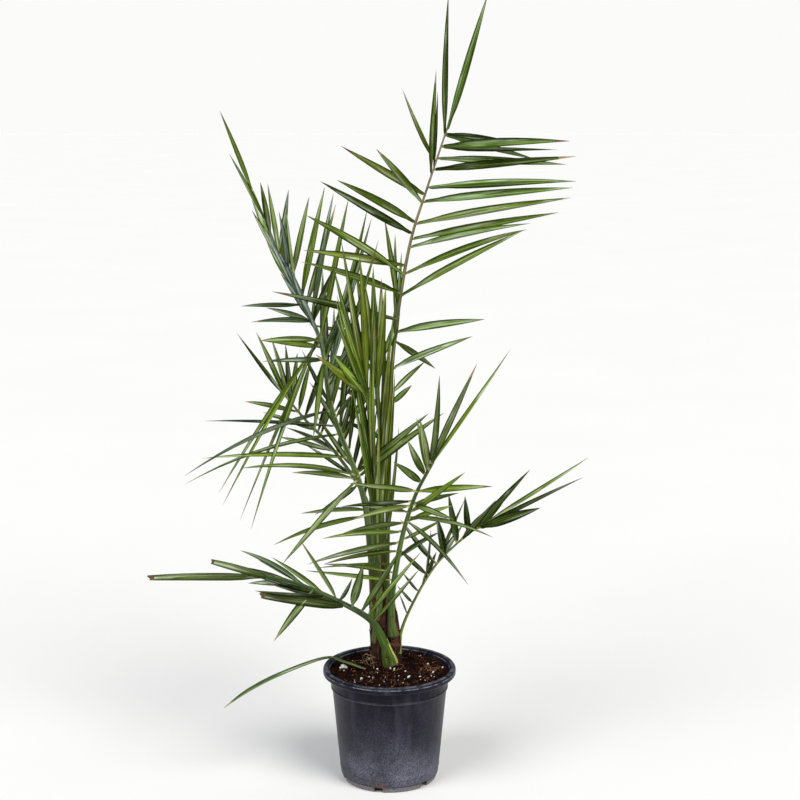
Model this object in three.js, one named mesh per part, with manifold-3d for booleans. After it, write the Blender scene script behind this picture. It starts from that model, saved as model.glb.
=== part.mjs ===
// A young date palm in a black nursery pot. Millimetres, +Z up, the viewer on the -Y side.
import * as THREE from "three";
import Module from "manifold-3d";

const wasm = await Module();
wasm.setup();

// ---- driving dimensions -------------------------------------------------------------------
const POT_HEIGHT = 190;
const RIM_RADIUS = 110;
const FOOT_RADIUS = 78;
const NECK_RADIUS = 95;
const BAND_LOW = 158;
const LIP_LOW = 177;
const WALL = 2.2;
const FLOOR = 3;
const POT_SIDES = 36;
const NOTCHES = 6;
const NOTCH_WIDTH = 14;
const NOTCH_HEIGHT = 8;
const NOTCH_TURN = -103;

const SOIL_EDGE = 184;
const SOIL_MIDDLE = 188;
const GAP = 0.3;

const TRUNK_X = -5;
const TRUNK_Y = 28;
const TRUNK_BASE = 181;
const TRUNK_SIDES = 14;
const TRUNK_RINGS = [
  [181, 27],
  [196, 26.5],
  [215, 25],
  [240, 24],
  [265, 25],
  [290, 23],
  [312, 22],
];

const RACHIS_SIDES = 6;
const LEAF_THICK_SHARE = 0.0125;
const ROOT_SHARE = 0.34;
const SHOULDER = 0.3;
const DEPTH_NUDGES = [0, 7, -7, 14, -14, 21, -21, 28, -28, 36, -36];
const FRONT_NUDGES = [0, 3, -3];

// Each frond: its midrib through a few points, its radius low and high and how soon it narrows,
// then runs of leaflets:
// [share of the midrib first, last, how many, front angle first, last, depth angle first, last,
//  length first, last, sag as a share of the length, width, blunt tip as a share of the width]
const FRONDS = {
  frond_tall_right: {
    midrib: [
      [-4, 45, 306],
      [-4, 46, 375],
      [0, 55, 560],
      [5, 75, 690],
      [19, 100, 800],
      [37, 130, 890],
      [60, 160, 960],
      [95, 205, 1060],
    ],
    radius: [4.8, 1.5, 1],
    runs: [
      [0.395, 0.417, 2, 36, 43, 50, 40, 70, 100, 0.05, 10, 0],
      [0.47, 0.547, 2, 20, 7, 25, 25, 160, 168, 0.05, 13.6, 0],
      [0.53, 0.53, 1, -35, -35, 45, 45, 120, 120, 0.1, 11.2, 0],
      [0.623, 0.623, 1, 30, 30, -5, -5, 234, 234, 0.02, 13.8, 0],
      [0.671, 0.671, 1, 24, 24, 4, 4, 223, 223, 0.08, 11.4, 0],
      [0.729, 0.729, 1, 15, 15, -14, -14, 209, 209, 0.04, 12, 0],
      [0.747, 0.747, 1, 13, 13, -4, -4, 249, 249, 0.04, 13.4, 0],
      [0.781, 0.781, 1, 13, 13, -12, -12, 265, 265, 0.04, 14.6, 0],
      [0.832, 0.832, 1, 8, 8, -10, -10, 252, 252, 0.03, 14.8, 0],
      [0.867, 0.867, 1, 6, 6, -12, -12, 250, 250, 0.05, 14.8, 0],
      [0.909, 0.909, 1, 6, 6, -14, -14, 241, 241, 0, 14, 0],
      [0.936, 0.936, 1, -3, -3, 6, 6, 220, 220, 0, 13.6, 0],
      [0.964, 0.964, 1, -2, -2, 12, 12, 205, 205, 0, 12, 0],
      [0.964, 0.964, 1, 4, 4, -12, -12, 217, 217, 0.02, 14.8, 0],
      [0.991, 0.991, 1, -15, -15, 14, 14, 165, 165, 0, 11.2, 0],
      [0.995, 0.995, 1, -7, -7, 24, 24, 117, 117, 0, 12, 0],
      [1, 1, 1, 73, 73, 5, 5, 241, 241, 0, 13.6, 0],
      [0.991, 0.991, 1, 89, 89, -8, -8, 232, 232, 0, 10.4, 0],
      [0.575, 0.69, 2, 161, 164, -30, -35, 240, 205, 0.04, 13.6, 0],
      [0.63, 0.63, 1, 156, 156, -30, -30, 200, 200, 0.04, 13.6, 0],
      [0.67, 0.85, 3, 144, 146, -35, -35, 235, 200, 0.04, 13.8, 0],
      [0.785, 0.83, 2, 145, 125, -38, -45, 192, 178, 0.04, 13.6, 0],
      [0.896, 0.896, 1, 88, 88, -20, -20, 184, 184, 0, 9.6, 0],
      [0.927, 0.927, 1, 115, 115, -26, -26, 147, 147, 0, 9.6, 0],
      [0.913, 0.913, 1, 88, 88, -30, -30, 145, 145, 0, 6, 0],
      [0.57, 0.57, 1, -112, -112, -20, -20, 66, 66, 0, 13.8, 0],
      [0.32, 0.52, 4, 160, 168, 45, 38, 120, 190, 0.08, 11.2, 0],
      [0.5, 0.6, 3, 84, 98, 30, 36, 190, 180, 0.02, 10, 0],
    ],
  },
  frond_tall_left: {
    midrib: [
      [-24, 40, 306],
      [-31, 41, 370],
      [-45, 45, 475],
      [-95, 65, 610],
      [-115, 85, 725],
      [-165, 100, 825],
      [-225, 120, 965],
    ],
    radius: [7.2, 2.2, 0.7],
    runs: [
      [0.275, 0.275, 1, -134, -134, -20, -20, 186, 186, 0, 11.3, 0],
      [0.265, 0.265, 1, -137, -137, 35, 35, 130, 130, 0, 9, 0],
      [0.185, 0.185, 1, -177, -177, -10, -10, 156, 156, 0.22, 8.6, 0],
      [0.285, 0.285, 1, 156, 156, -28, -28, 225, 225, 0.2, 8.6, 0],
      [0.33, 0.33, 1, 171, 171, -15, -15, 248, 248, 0.1, 8.6, 0],
      [0.39, 0.45, 2, -178, -173, -18, -28, 262, 262, 0.24, 8.6, 0],
      [0.41, 0.41, 1, 178, 178, 18, 18, 240, 240, 0.06, 9, 0],
      [0.615, 0.63, 4, -128, -110, -8, -22, 285, 318, 0.08, 7.6, 0],
      [0.57, 0.57, 1, -98, -98, -30, -30, 130, 130, 0.05, 10.2, 0],
      [0.57, 0.71, 4, 162, 168, -50, -45, 150, 135, 0.08, 9.8, 0],
      [0.82, 0.82, 1, 82, 82, -22, -22, 64, 64, 0, 12.6, 0],
      [0.43, 0.43, 1, 57, 57, -32, -32, 66, 66, 0, 9, 0],
      [0.6, 0.66, 2, 176, 164, 40, 48, 138, 132, 0.08, 10.2, 0],
      [0.46, 0.72, 6, 74.5, 77, -8, -14, 302, 200, 0, 11.3, 0],
      [0.744, 0.744, 1, 94, 94, -30, -30, 174, 174, 0, 7.4, 0],
      [0.79, 0.79, 1, 94, 94, -37, -37, 137, 137, 0, 10.6, 0],
      [0.837, 0.837, 1, 95, 95, -38, -38, 157, 157, 0, 9, 0],
      [0.89, 0.89, 1, 97, 97, -35, -35, 110, 110, 0, 10.6, 0],
      [0.7, 0.84, 3, 72, 84, 20, 25, 185, 115, 0, 10.2, 0],
      [0.66, 0.84, 3, 126, 118, 42, 38, 130, 130, 0.03, 10.2, 0],
      [1, 1, 1, 112, 112, 5, 5, 142, 142, 0, 8, 0],
      [0.925, 0.925, 1, 115, 115, -22, -22, 133, 133, 0, 7.6, 0],
      [0.28, 0.29, 2, 44, 45, -32, -22, 235, 200, 0.04, 12.4, 0],
      [0.38, 0.5, 3, 62, 50, 42, 50, 180, 180, 0.05, 10.2, 0],
      [0.34, 0.56, 5, 82, 94, 24, 34, 205, 180, 0.03, 11, 0],
      [0.63, 0.8, 4, 112, 119, -10, 6, 128, 112, 0, 10, 0],
      [0.3, 0.46, 3, 128, 118, 30, 20, 120, 110, 0.03, 10, 0],
      [0.52, 0.66, 3, 60, 68, -40, -30, 160, 140, 0.02, 11, 0],
    ],
  },
  frond_back_left: {
    midrib: [
      [-19, 54, 300],
      [-30, 70, 385],
      [-40, 80, 455],
      [-95, 120, 530],
      [-145, 160, 575],
      [-180, 190, 610],
    ],
    radius: [4.8, 1.8, 0.8],
    runs: [
      [0.95, 1, 5, 84, 128, 20, 15, 90, 140, 0, 9.6, 0],
      [0.53, 0.9, 4, 150, 166, 40, 25, 120, 110, 0.12, 9.2, 0],
      [0.5, 0.9, 4, 62, 76, 45, 30, 130, 110, 0.05, 9.2, 0],
      [0.3, 0.86, 6, 84, 70, -6, 18, 165, 130, 0, 9.4, 0],
      [0.35, 0.8, 4, 176, 160, 12, 22, 118, 100, 0.1, 10, 0],
    ],
  },
  frond_young: {
    midrib: [
      [-16, 15, 306],
      [-25, 0, 470],
      [-30, -10, 590],
      [-35, -20, 655],
    ],
    radius: [5.4, 3, 0.8],
    runs: [
      [0.93, 1, 4, 109, 94, -20, -10, 170, 235, 0, 11.5, 0],
      [0.99, 0.99, 1, 138, 138, -25, -25, 118, 118, 0, 16, 0],
      [0.97, 0.97, 1, 124, 124, -28, -28, 106, 106, 0, 15, 0],
      [0.12, 0.78, 6, 91, 87.5, -9, -7, 225, 245, 0, 7, 0],
      [0.95, 1, 2, 102, 99, 2, 12, 225, 250, 0, 10.8, 0],
      [0.34, 0.9, 5, 97, 101, -10, 2, 245, 235, 0, 9.6, 0],
    ],
  },
  frond_spear: {
    midrib: [
      [-10, 29, 306],
      [-13, 30, 465],
      [-15, 30, 580],
      [-20, 30, 660],
    ],
    radius: [5.4, 3, 0.8],
    runs: [
      [0.96, 1, 6, 84, 100, -10, 12, 180, 205, 0, 12.6, 0],
      [0.36, 0.88, 5, 86, 93, -8, 10, 245, 215, 0, 9.6, 0],
      [0.14, 0.72, 4, 88, 86, -5, -3, 240, 230, 0, 7, 0],
    ],
  },
  frond_mid_right: {
    midrib: [
      [4, 4, 240],
      [3, 0, 290],
      [8, -5, 340],
      [22, -19, 420],
      [42, -40, 490],
      [68, -72, 549],
    ],
    radius: [9.2, 2.4, 0.45],
    runs: [
      [0.81, 0.81, 1, 171, 171, -8, -8, 111, 111, 0, 10.5, 0],
      [0.75, 0.75, 1, 182, 182, -4, -4, 116, 116, 0.03, 10, 0],
      [0.72, 0.72, 1, 184, 184, -14, -14, 96, 96, 0.1, 10, 0],
      [0.68, 0.68, 1, 172, 172, 18, 18, 88, 88, 0.05, 9, 0],
      [0.62, 0.62, 1, 179, 179, -8, -8, 102, 102, 0.15, 10, 0],
      [0.57, 0.57, 1, 175, 175, -12, -12, 134, 134, 0.12, 9.6, 0],
      [0.51, 0.51, 1, 182, 182, -10, -10, 154, 154, 0.16, 11, 0],
      [0.46, 0.46, 1, 180, 180, -4, -4, 123, 123, 0.16, 8, 0],
      [0.39, 0.39, 1, 175, 175, -8, -8, 131, 131, 0.1, 7, 0],
      [0.34, 0.34, 1, 167, 167, 4, 4, 120, 120, 0.12, 7, 0],
      [0.3, 0.3, 1, 173, 173, -2, -2, 147, 147, 0, 8, 0],
      [0.87, 0.87, 1, 132, 132, -48, -48, 100, 100, 0, 12, 0],
      [0.92, 0.92, 1, 112, 112, -43, -43, 106, 106, 0, 12.5, 0],
      [0.96, 0.96, 1, 99, 99, -38, -38, 125, 125, 0, 12.5, 0],
      [0.98, 0.98, 1, 86, 86, -30, -30, 188, 188, 0, 11, 0],
      [1, 1, 1, 59.7, 59.7, -22, -22, 248, 248, 0, 9.4, 0],
      [0.985, 0.985, 1, 70, 70, -30, -30, 225, 225, 0, 10.6, 0],
      [0.81, 0.81, 1, 8, 8, -10, -10, 122, 122, 0.03, 11.4, 0],
      [0.68, 0.68, 1, 42, 42, -25, -25, 130, 130, 0, 12, 0],
      [0.73, 0.73, 1, -10, -10, -30, -30, 78, 78, 0.05, 10.3, 0],
      [0.65, 0.65, 1, 4, 4, -12, -12, 140, 140, 0.25, 8, 0],
      [0.63, 0.63, 1, -28, -28, -30, -30, 128, 128, 0.28, 8, 0],
      [0.42, 0.73, 4, 25, 10, 45, 38, 110, 100, 0.08, 9.1, 0],
      [0.94, 0.99, 2, 100, 80, 12, 15, 88, 86, 0, 9, 0],
    ],
  },
  frond_low_right: {
    midrib: [
      [16, 13, 207],
      [19.5, 14.5, 245],
      [41, 36, 291],
      [78, 68, 344],
      [128, 102, 384],
      [153, 116, 397],
    ],
    radius: [3.6, 1.6, 0.5],
    runs: [
      [1, 1, 1, 31, 31, 10, 10, 222, 222, 0, 9.2, 0],
      [0.98, 0.98, 1, 27.5, 27.5, -4, -4, 200, 200, 0, 8.6, 0],
      [0.99, 0.99, 1, 22, 22, -14, -14, 114, 114, 0, 17, 0],
      [0.95, 0.95, 1, 37, 37, 38, 38, 96, 96, 0, 14, 0],
      [0.97, 0.97, 1, 52, 52, -15, -15, 148, 148, 0, 11.4, 0],
      [0.25, 0.25, 1, 110, 110, -30, -30, 57, 57, 0, 3.2, 0],
      [0.33, 0.33, 1, 127, 127, -38, -38, 56, 56, 0, 5.4, 0],
      [0.41, 0.41, 1, 121, 121, -38, -38, 70, 70, 0, 6.4, 0],
      [0.53, 0.53, 1, 130, 130, -38, -38, 94, 94, 0, 8.2, 0],
      [0.62, 0.62, 1, 124, 124, -38, -38, 119, 119, 0, 10.5, 0],
      [0.49, 0.49, 1, 85, 85, -20, -20, 106, 106, 0, 5, 0],
      [0.62, 0.62, 1, 66, 66, 10, 10, 120, 120, 0, 6.5, 0],
      [0.7, 0.92, 3, 100, 98, -28, -30, 122, 88, 0, 12.6, 0],
      [0.84, 0.84, 1, 54, 54, -20, -20, 106, 106, 0, 11.4, 0],
      [0.43, 0.85, 3, 60, 40, 55, 50, 100, 120, 0.08, 9.6, 0],
      [0.45, 0.45, 1, 76, 76, -30, -30, 54, 54, 0, 4, 0],
    ],
  },
  frond_low_left: {
    midrib: [
      [3, -1, 199],
      [-9, -10, 234],
      [-29, -20, 274],
      [-75, -40, 310],
      [-140, -70, 350],
      [-195, -105, 375],
    ],
    radius: [12.5, 2.2, 0.45],
    runs: [
      [1, 1, 1, 174.5, 174.5, -20, -20, 187, 187, 0, 14.2, 0.6],
      [0.98, 0.98, 1, 148, 148, -42, -42, 127, 127, 0, 13, 0.6],
      [0.75, 0.75, 1, 144, 144, 15, 15, 134, 134, 0.2, 9.6, 0],
      [0.73, 0.73, 1, 163, 163, 38, 38, 112, 112, 0, 8.6, 0],
      [0.61, 0.61, 1, 148, 148, 15, 15, 108, 108, 0, 8.6, 0],
      [0.6, 0.6, 1, 162, 162, -38, -38, 145, 145, 0, 10.6, 0],
      [0.46, 0.46, 1, 162, 162, -30, -30, 163, 163, 0, 16.4, 0.5],
      [0.69, 0.69, 1, -132, -132, -34, -34, 108, 108, 0, 13, 0],
      [0.53, 0.53, 1, 119, 119, 22, 22, 122, 122, 0, 9.2, 0],
      [0.52, 0.52, 1, 68, 68, -48, -48, 98, 98, 0, 9.6, 0],
      [0.43, 0.43, 1, 78, 78, -40, -40, 133, 133, 0, 15, 0],
      [0.37, 0.37, 1, 64, 64, -34, -34, 186, 186, 0, 12, 0],
      [0.32, 0.32, 1, 57, 57, -28, -28, 182, 182, 0, 8.6, 0],
      [0.27, 0.27, 1, 55, 55, -24, -24, 145, 145, 0, 7, 0],
      [0.8, 0.92, 2, 190, 176, 40, 35, 110, 100, 0.08, 10.6, 0],
      [0.5, 0.82, 4, 160, 165, -6, 6, 130, 112, 0.03, 9, 0],
    ],
  },
};

// The old leaf that lies over the rim: its centre line and its half widths.
const LOOSE_LEAF = [
  [-40, -17, 190.1, 3],
  [-76, 4, 195.5, 7],
  [-108, 12, 199, 9],
  [-180, -15, 180, 10],
  [-232, -35, 159, 6.5],
  [-270, -50, 136, 0.8],
];
const LOOSE_THICK = 3.2;

// ---- small helpers ------------------------------------------------------------------------
const rad = (a) => (a * Math.PI) / 180;
const mix = (a, b, u) => a + (b - a) * u;
const vec = (p) => new THREE.Vector3(p[0], p[1], p[2]);

// A repeatable number from 0 to 1 for the whole number i.
function chance(i) {
  const x = Math.sin(i * 12.9898 + 4.1414) * 43758.5453;
  return x - Math.floor(x);
}

// A closed solid from corner points and triangles that turn outwards.
function solid(points, triangles) {
  const made = new wasm.Manifold(
    new wasm.Mesh({
      numProp: 3,
      vertProperties: new Float32Array(points.flatMap((p) => [p.x, p.y, p.z])),
      triVerts: new Uint32Array(triangles.flat()),
    }),
  );
  if (made.volume() < 0) return solid(points, triangles.map((t) => [t[0], t[2], t[1]]));
  return made;
}

// Rings of the same number of corners joined up into one solid; a ring of one point closes it.
function loft(rings) {
  const points = rings.flat();
  const starts = [];
  let at = 0;
  for (const ring of rings) {
    starts.push(at);
    at += ring.length;
  }
  const faces = [];
  for (let k = 0; k + 1 < rings.length; k++) {
    const a = rings[k].length;
    const b = rings[k + 1].length;
    const n = Math.max(a, b);
    for (let i = 0; i < n; i++) {
      const j = (i + 1) % n;
      const lo = (m) => starts[k] + (a === 1 ? 0 : m);
      const hi = (m) => starts[k + 1] + (b === 1 ? 0 : m);
      if (a > 1) faces.push([lo(i), lo(j), hi(j)]);
      if (b > 1) faces.push([lo(i), hi(j), hi(i)]);
    }
  }
  const cap = (start, n, flip) => {
    for (let i = 1; i + 1 < n; i++) {
      faces.push(flip ? [start, start + i + 1, start + i] : [start, start + i, start + i + 1]);
    }
  };
  cap(starts[0], rings[0].length, true);
  cap(starts[rings.length - 1], rings[rings.length - 1].length, false);
  return solid(points, faces);
}

// A solid of revolution about +Z from [radius, height] pairs.
function turned(profile, sides) {
  const geometry = new THREE.LatheGeometry(
    profile.map(([r, z]) => new THREE.Vector2(r, z)),
    sides,
  );
  geometry.rotateX(Math.PI / 2);
  const g = geometry.toNonIndexed();
  const at = new Map();
  const points = [];
  const ids = [];
  const pos = g.getAttribute("position");
  for (let i = 0; i < pos.count; i++) {
    const p = new THREE.Vector3().fromBufferAttribute(pos, i);
    const key = [p.x, p.y, p.z].map((c) => Math.round(c * 1e4)).join();
    if (!at.has(key)) {
      at.set(key, points.length);
      points.push(p);
    }
    ids.push(at.get(key));
  }
  const faces = [];
  for (let i = 0; i < ids.length; i += 3) {
    const t = [ids[i], ids[i + 1], ids[i + 2]];
    if (t[0] !== t[1] && t[1] !== t[2] && t[0] !== t[2]) faces.push(t);
  }
  return solid(points, faces);
}

// Even samples of a smooth curve through the given points.
function smooth(points, n) {
  const p = points.map(vec);
  const m = p.length - 1;
  const q = [p[0].clone().multiplyScalar(2).sub(p[1]), ...p];
  q.push(p[m].clone().multiplyScalar(2).sub(p[m - 1]));
  const out = [];
  for (let k = 0; k <= n; k++) {
    const u = (k / n) * m;
    const i = Math.min(Math.floor(u), m - 1);
    const f = u - i;
    const s = [
      0.5 * (-f + 2 * f * f - f * f * f),
      0.5 * (2 - 5 * f * f + 3 * f * f * f),
      0.5 * (f + 4 * f * f - 3 * f * f * f),
      0.5 * (-f * f + f * f * f),
    ];
    const v = new THREE.Vector3();
    for (let j = 0; j < 4; j++) v.addScaledVector(q[i + j], s[j]);
    out.push(v);
  }
  return out;
}

// The point at a share t of the way along a line of points.
function along(line, t) {
  const steps = line.slice(1).map((p, i) => p.distanceTo(line[i]));
  let left = steps.reduce((a, b) => a + b, 0) * t;
  for (let i = 0; i < steps.length; i++) {
    if (left <= steps[i] || i === steps.length - 1) {
      return line[i].clone().lerp(line[i + 1], Math.min(1, left / steps[i]));
    }
    left -= steps[i];
  }
}

// The way a leaflet heads: its angle seen from the front, and how far it turns to the back.
function heading(front, depth) {
  const f = rad(front);
  const d = rad(depth);
  return new THREE.Vector3(Math.cos(d) * Math.cos(f), Math.sin(d), Math.cos(d) * Math.sin(f));
}

// A point of a leaflet's centre line at a share u of its length.
function leafPoint(leaf, u) {
  return leaf.base
    .clone()
    .addScaledVector(leaf.way, leaf.length * u)
    .add(new THREE.Vector3(0, 0, -leaf.sag * leaf.length * u * u));
}

// The least distance between two straight pieces of line.
function pieceDistance(a, b, c, d) {
  const u = b.clone().sub(a);
  const v = d.clone().sub(c);
  const w = a.clone().sub(c);
  const uu = u.dot(u);
  const uv = u.dot(v);
  const vv = v.dot(v);
  const uw = u.dot(w);
  const vw = v.dot(w);
  const den = uu * vv - uv * uv;
  let s = den > 1e-9 ? Math.min(1, Math.max(0, (uv * vw - vv * uw) / den)) : 0;
  const t = Math.min(1, Math.max(0, (uv * s + vw) / vv));
  s = Math.min(1, Math.max(0, (uv * t - uw) / uu));
  return w.addScaledVector(u, s).addScaledVector(v, -t).length();
}

// ---- pot and soil -------------------------------------------------------------------------
function makePot() {
  const body = turned(
    [
      [0, 0],
      [FOOT_RADIUS - 1.5, 0],
      [FOOT_RADIUS, 1.5],
      [FOOT_RADIUS + 0.6, 8],
      [FOOT_RADIUS + 3, 9.5],
      [NECK_RADIUS, BAND_LOW - 3],
      [NECK_RADIUS + 2.2, BAND_LOW - 2],
      [NECK_RADIUS + 2.2, BAND_LOW + 1],
      [NECK_RADIUS + 1.4, BAND_LOW + 3],
      [NECK_RADIUS + 2.6, LIP_LOW],
      [RIM_RADIUS - 2, LIP_LOW + 1],
      [RIM_RADIUS, LIP_LOW + 3],
      [RIM_RADIUS, POT_HEIGHT - 3],
      [RIM_RADIUS - 1.5, POT_HEIGHT],
      [RIM_RADIUS - 7, POT_HEIGHT],
      [NECK_RADIUS + 4, POT_HEIGHT - 4],
      [NECK_RADIUS + 0.4, LIP_LOW],
      [NECK_RADIUS - WALL, BAND_LOW - 4],
      [FOOT_RADIUS + 3 - WALL, 9.5],
      [FOOT_RADIUS - WALL, FLOOR],
      [0, FLOOR],
    ],
    POT_SIDES,
  );
  let pot = body;
  for (let i = 0; i < NOTCHES; i++) {
    const box = new THREE.BoxGeometry(26, NOTCH_WIDTH, NOTCH_HEIGHT + 2);
    box.translate(FOOT_RADIUS - 12 + 13, 0, NOTCH_HEIGHT / 2 - 1);
    box.rotateZ(rad(NOTCH_TURN + (360 / NOTCHES) * i));
    pot = pot.subtract(fromGeometry(box));
  }
  return pot;
}

// A closed three.js shape as a solid, its doubled corners made one.
function fromGeometry(geometry) {
  const g = geometry.index ? geometry.toNonIndexed() : geometry;
  const pos = g.getAttribute("position");
  const at = new Map();
  const points = [];
  const faces = [];
  for (let i = 0; i < pos.count; i++) {
    const p = new THREE.Vector3().fromBufferAttribute(pos, i);
    const key = [p.x, p.y, p.z].map((c) => Math.round(c * 1e4)).join();
    if (!at.has(key)) {
      at.set(key, points.length);
      points.push(p);
    }
    if (i % 3 === 0) faces.push([]);
    faces[faces.length - 1].push(at.get(key));
  }
  return solid(points, faces);
}

function makeSoil() {
  return turned(
    [
      [0, FLOOR + GAP],
      [FOOT_RADIUS - WALL - GAP, FLOOR + GAP],
      [FOOT_RADIUS + 3 - WALL - GAP, 9.5],
      [NECK_RADIUS - WALL - GAP, BAND_LOW - 4],
      [NECK_RADIUS - 0.2, LIP_LOW - 1],
      [NECK_RADIUS + 1.7, SOIL_EDGE - 2],
      [NECK_RADIUS - 1, SOIL_EDGE],
      [70, SOIL_EDGE + 2],
      [48, SOIL_EDGE + 3.6],
      [30, SOIL_MIDDLE],
      [0, SOIL_MIDDLE + 0.5],
    ],
    POT_SIDES,
  );
}

// ---- trunk --------------------------------------------------------------------------------
// Rings of the trunk, lobed where old leaf bases wrap it; grown makes it larger all round.
function makeTrunk(grown) {
  const rings = TRUNK_RINGS.map(([z, radius], k) => {
    const ring = [];
    const lean = (z - TRUNK_BASE) / 130;
    for (let i = 0; i < TRUNK_SIDES; i++) {
      const a = (i / TRUNK_SIDES) * 2 * Math.PI;
      const r = radius + 1.1 * Math.sin(3 * a + k * 1.3) + grown;
      const x = TRUNK_X - 6 * lean + r * Math.cos(a);
      const y = TRUNK_Y + 4 * lean + r * Math.sin(a);
      const last = k === TRUNK_RINGS.length - 1 ? grown : 0;
      ring.push(new THREE.Vector3(x, y, z + last - (k === 0 ? grown : 0)));
    }
    return ring;
  });
  return loft(rings);
}

// ---- fronds -------------------------------------------------------------------------------
// The midrib as a tube that narrows upwards, thick where it leaves the trunk.
function makeMidrib(line, radius) {
  const rings = line.map((p, k) => {
    const u = k / (line.length - 1);
    const before = line[Math.max(0, k - 1)];
    const after = line[Math.min(line.length - 1, k + 1)];
    const way = after.clone().sub(before).normalize();
    const side = new THREE.Vector3(0, -1, 0).cross(way).normalize();
    const face = way.clone().cross(side).normalize();
    const r = mix(radius[0], radius[1], Math.pow(u, radius[2]));
    const ring = [];
    for (let i = 0; i < RACHIS_SIDES; i++) {
      const a = (i / RACHIS_SIDES) * 2 * Math.PI;
      ring.push(
        p
          .clone()
          .addScaledVector(side, r * Math.cos(a))
          .addScaledVector(face, r * 0.8 * Math.sin(a)),
      );
    }
    return ring;
  });
  return loft(rings);
}

// One leaflet: a narrow blade with a keel below, its root inside the midrib.
function makeLeaf(leaf) {
  const bent = leaf.sag > 0.15;
  const stations = bent ? [0, 0.25, 0.5, 0.76] : [0, SHOULDER, 0.68];
  const wide = bent ? [ROOT_SHARE, 0.92, 1, 0.72] : [ROOT_SHARE, 1, 0.78];
  const thick = leaf.length * LEAF_THICK_SHARE + 0.3;
  const front = new THREE.Vector3(0, -1, 0);
  const rings = stations.map((u, k) => {
    const way = leafPoint(leaf, u + 0.02).sub(leafPoint(leaf, u)).normalize();
    const flat = way.clone().cross(front).normalize();
    const face = flat.clone().cross(way).normalize();
    const across = flat.applyAxisAngle(way, rad(leaf.roll));
    const out = face.applyAxisAngle(way, rad(leaf.roll));
    const half = (leaf.width / 2) * wide[k];
    const p = leafPoint(leaf, u);
    return [
      p.clone().addScaledVector(across, half).addScaledVector(out, thick * 0.4),
      p.clone().addScaledVector(across, -half).addScaledVector(out, thick * 0.4),
      p.clone().addScaledVector(out, -thick * 0.6),
    ];
  });
  if (leaf.blunt > 0) {
    const end = rings[1].map((p) => p.clone());
    const was = end.reduce((a, b) => a.add(b), new THREE.Vector3()).multiplyScalar(1 / 3);
    const fresh = leafPoint(leaf, 1);
    rings.push(rings[1].map((p) => p.clone().sub(was).multiplyScalar(leaf.blunt).add(fresh)));
  } else {
    rings.push([leafPoint(leaf, 1)]);
  }
  return loft(rings);
}

// Where each leaflet goes: kept clear of the other fronds by turning it a little, or left out.
function placeLeaves() {
  const lines = {};
  const taken = [];
  for (const [name, frond] of Object.entries(FRONDS)) {
    lines[name] = smooth(frond.midrib, frond.midrib.length * 3 - 3);
    const line = lines[name];
    for (let i = 0; i + 1 < line.length; i++) {
      const r = mix(frond.radius[0], frond.radius[1], i / (line.length - 1));
      taken.push({ name, a: line[i], b: line[i + 1], half: r });
    }
  }
  const leaves = {};
  let number = 0;
  let dropped = 0;
  for (const [name, frond] of Object.entries(FRONDS)) {
    leaves[name] = [];
    for (const run of frond.runs) {
      const [t0, t1, count, f0, f1, d0, d1, l0, l1, sag, width, blunt] = run;
      for (let i = 0; i < count; i++) {
        number += 1;
        const u = count > 1 ? i / (count - 1) : 0;
        const shake = count > 1 ? (chance(number) - 0.5) * 4 : 0;
        const base = along(lines[name], mix(t0, t1, u));
        const roll = (chance(number + 500) - 0.5) * 70;
        let best = null;
        for (const depth of DEPTH_NUDGES) {
          for (const turn of FRONT_NUDGES) {
            const front = mix(f0, f1, u) + shake + turn;
            const way = heading(front, mix(d0, d1, u) + depth);
            const leaf = { base, way, length: mix(l0, l1, u), sag, width, blunt, roll };
            const own = [0.04, 0.25, 0.5, 0.75, 1].map((s) => leafPoint(leaf, s));
            let clear = 1e9;
            for (const t of taken) {
              if (t.name === name) continue;
              for (let k = 0; k < 4; k++) {
                const need = t.half + width / 2 + 0.4;
                clear = Math.min(clear, pieceDistance(own[k], own[k + 1], t.a, t.b) - need);
              }
              if (clear < 0) break;
            }
            if (clear >= 0) {
              best = { leaf, own };
              break;
            }
          }
          if (best) break;
        }
        if (!best) {
          dropped += 1;
          continue;
        }
        leaves[name].push(best.leaf);
        for (let k = 0; k < 4; k++) {
          taken.push({ name, a: best.own[k], b: best.own[k + 1], half: width / 2 });
        }
      }
    }
  }
  console.log(number + " leaflets asked for, " + dropped + " left out");
  return { lines, leaves };
}

// The biggest single body of a solid that a cut may have split.
function biggest(made) {
  const bodies = made.decompose();
  return bodies.reduce((a, b) => (b.volume() > a.volume() ? b : a));
}

function makeFronds(trunkRoom) {
  const { lines, leaves } = placeLeaves();
  const made = {};
  for (const [name, frond] of Object.entries(FRONDS)) {
    let whole = makeMidrib(lines[name], frond.radius);
    for (const leaf of leaves[name]) whole = whole.add(makeLeaf(leaf));
    made[name] = biggest(whole.subtract(trunkRoom));
  }
  return made;
}

function makeLooseLeaf() {
  const line = smooth(LOOSE_LEAF.map((p) => p.slice(0, 3)), 15);
  const halves = smooth(LOOSE_LEAF.map((p) => [p[3], 0, 0]), 15).map((v) => Math.max(0.6, v.x));
  const rings = line.map((p, k) => {
    const before = line[Math.max(0, k - 1)];
    const after = line[Math.min(line.length - 1, k + 1)];
    const way = after.clone().sub(before).normalize();
    const side = new THREE.Vector3(0, 0, 1).cross(way).normalize();
    const up = way.clone().cross(side).normalize();
    return [
      p.clone().addScaledVector(side, halves[k]).addScaledVector(up, LOOSE_THICK * 0.4),
      p.clone().addScaledVector(up, -LOOSE_THICK * 0.6),
      p.clone().addScaledVector(side, -halves[k]).addScaledVector(up, LOOSE_THICK * 0.4),
    ];
  });
  return loft(rings);
}

// ---- the whole ----------------------------------------------------------------------------
const root = new THREE.Group();
root.name = "date_palm";

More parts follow.
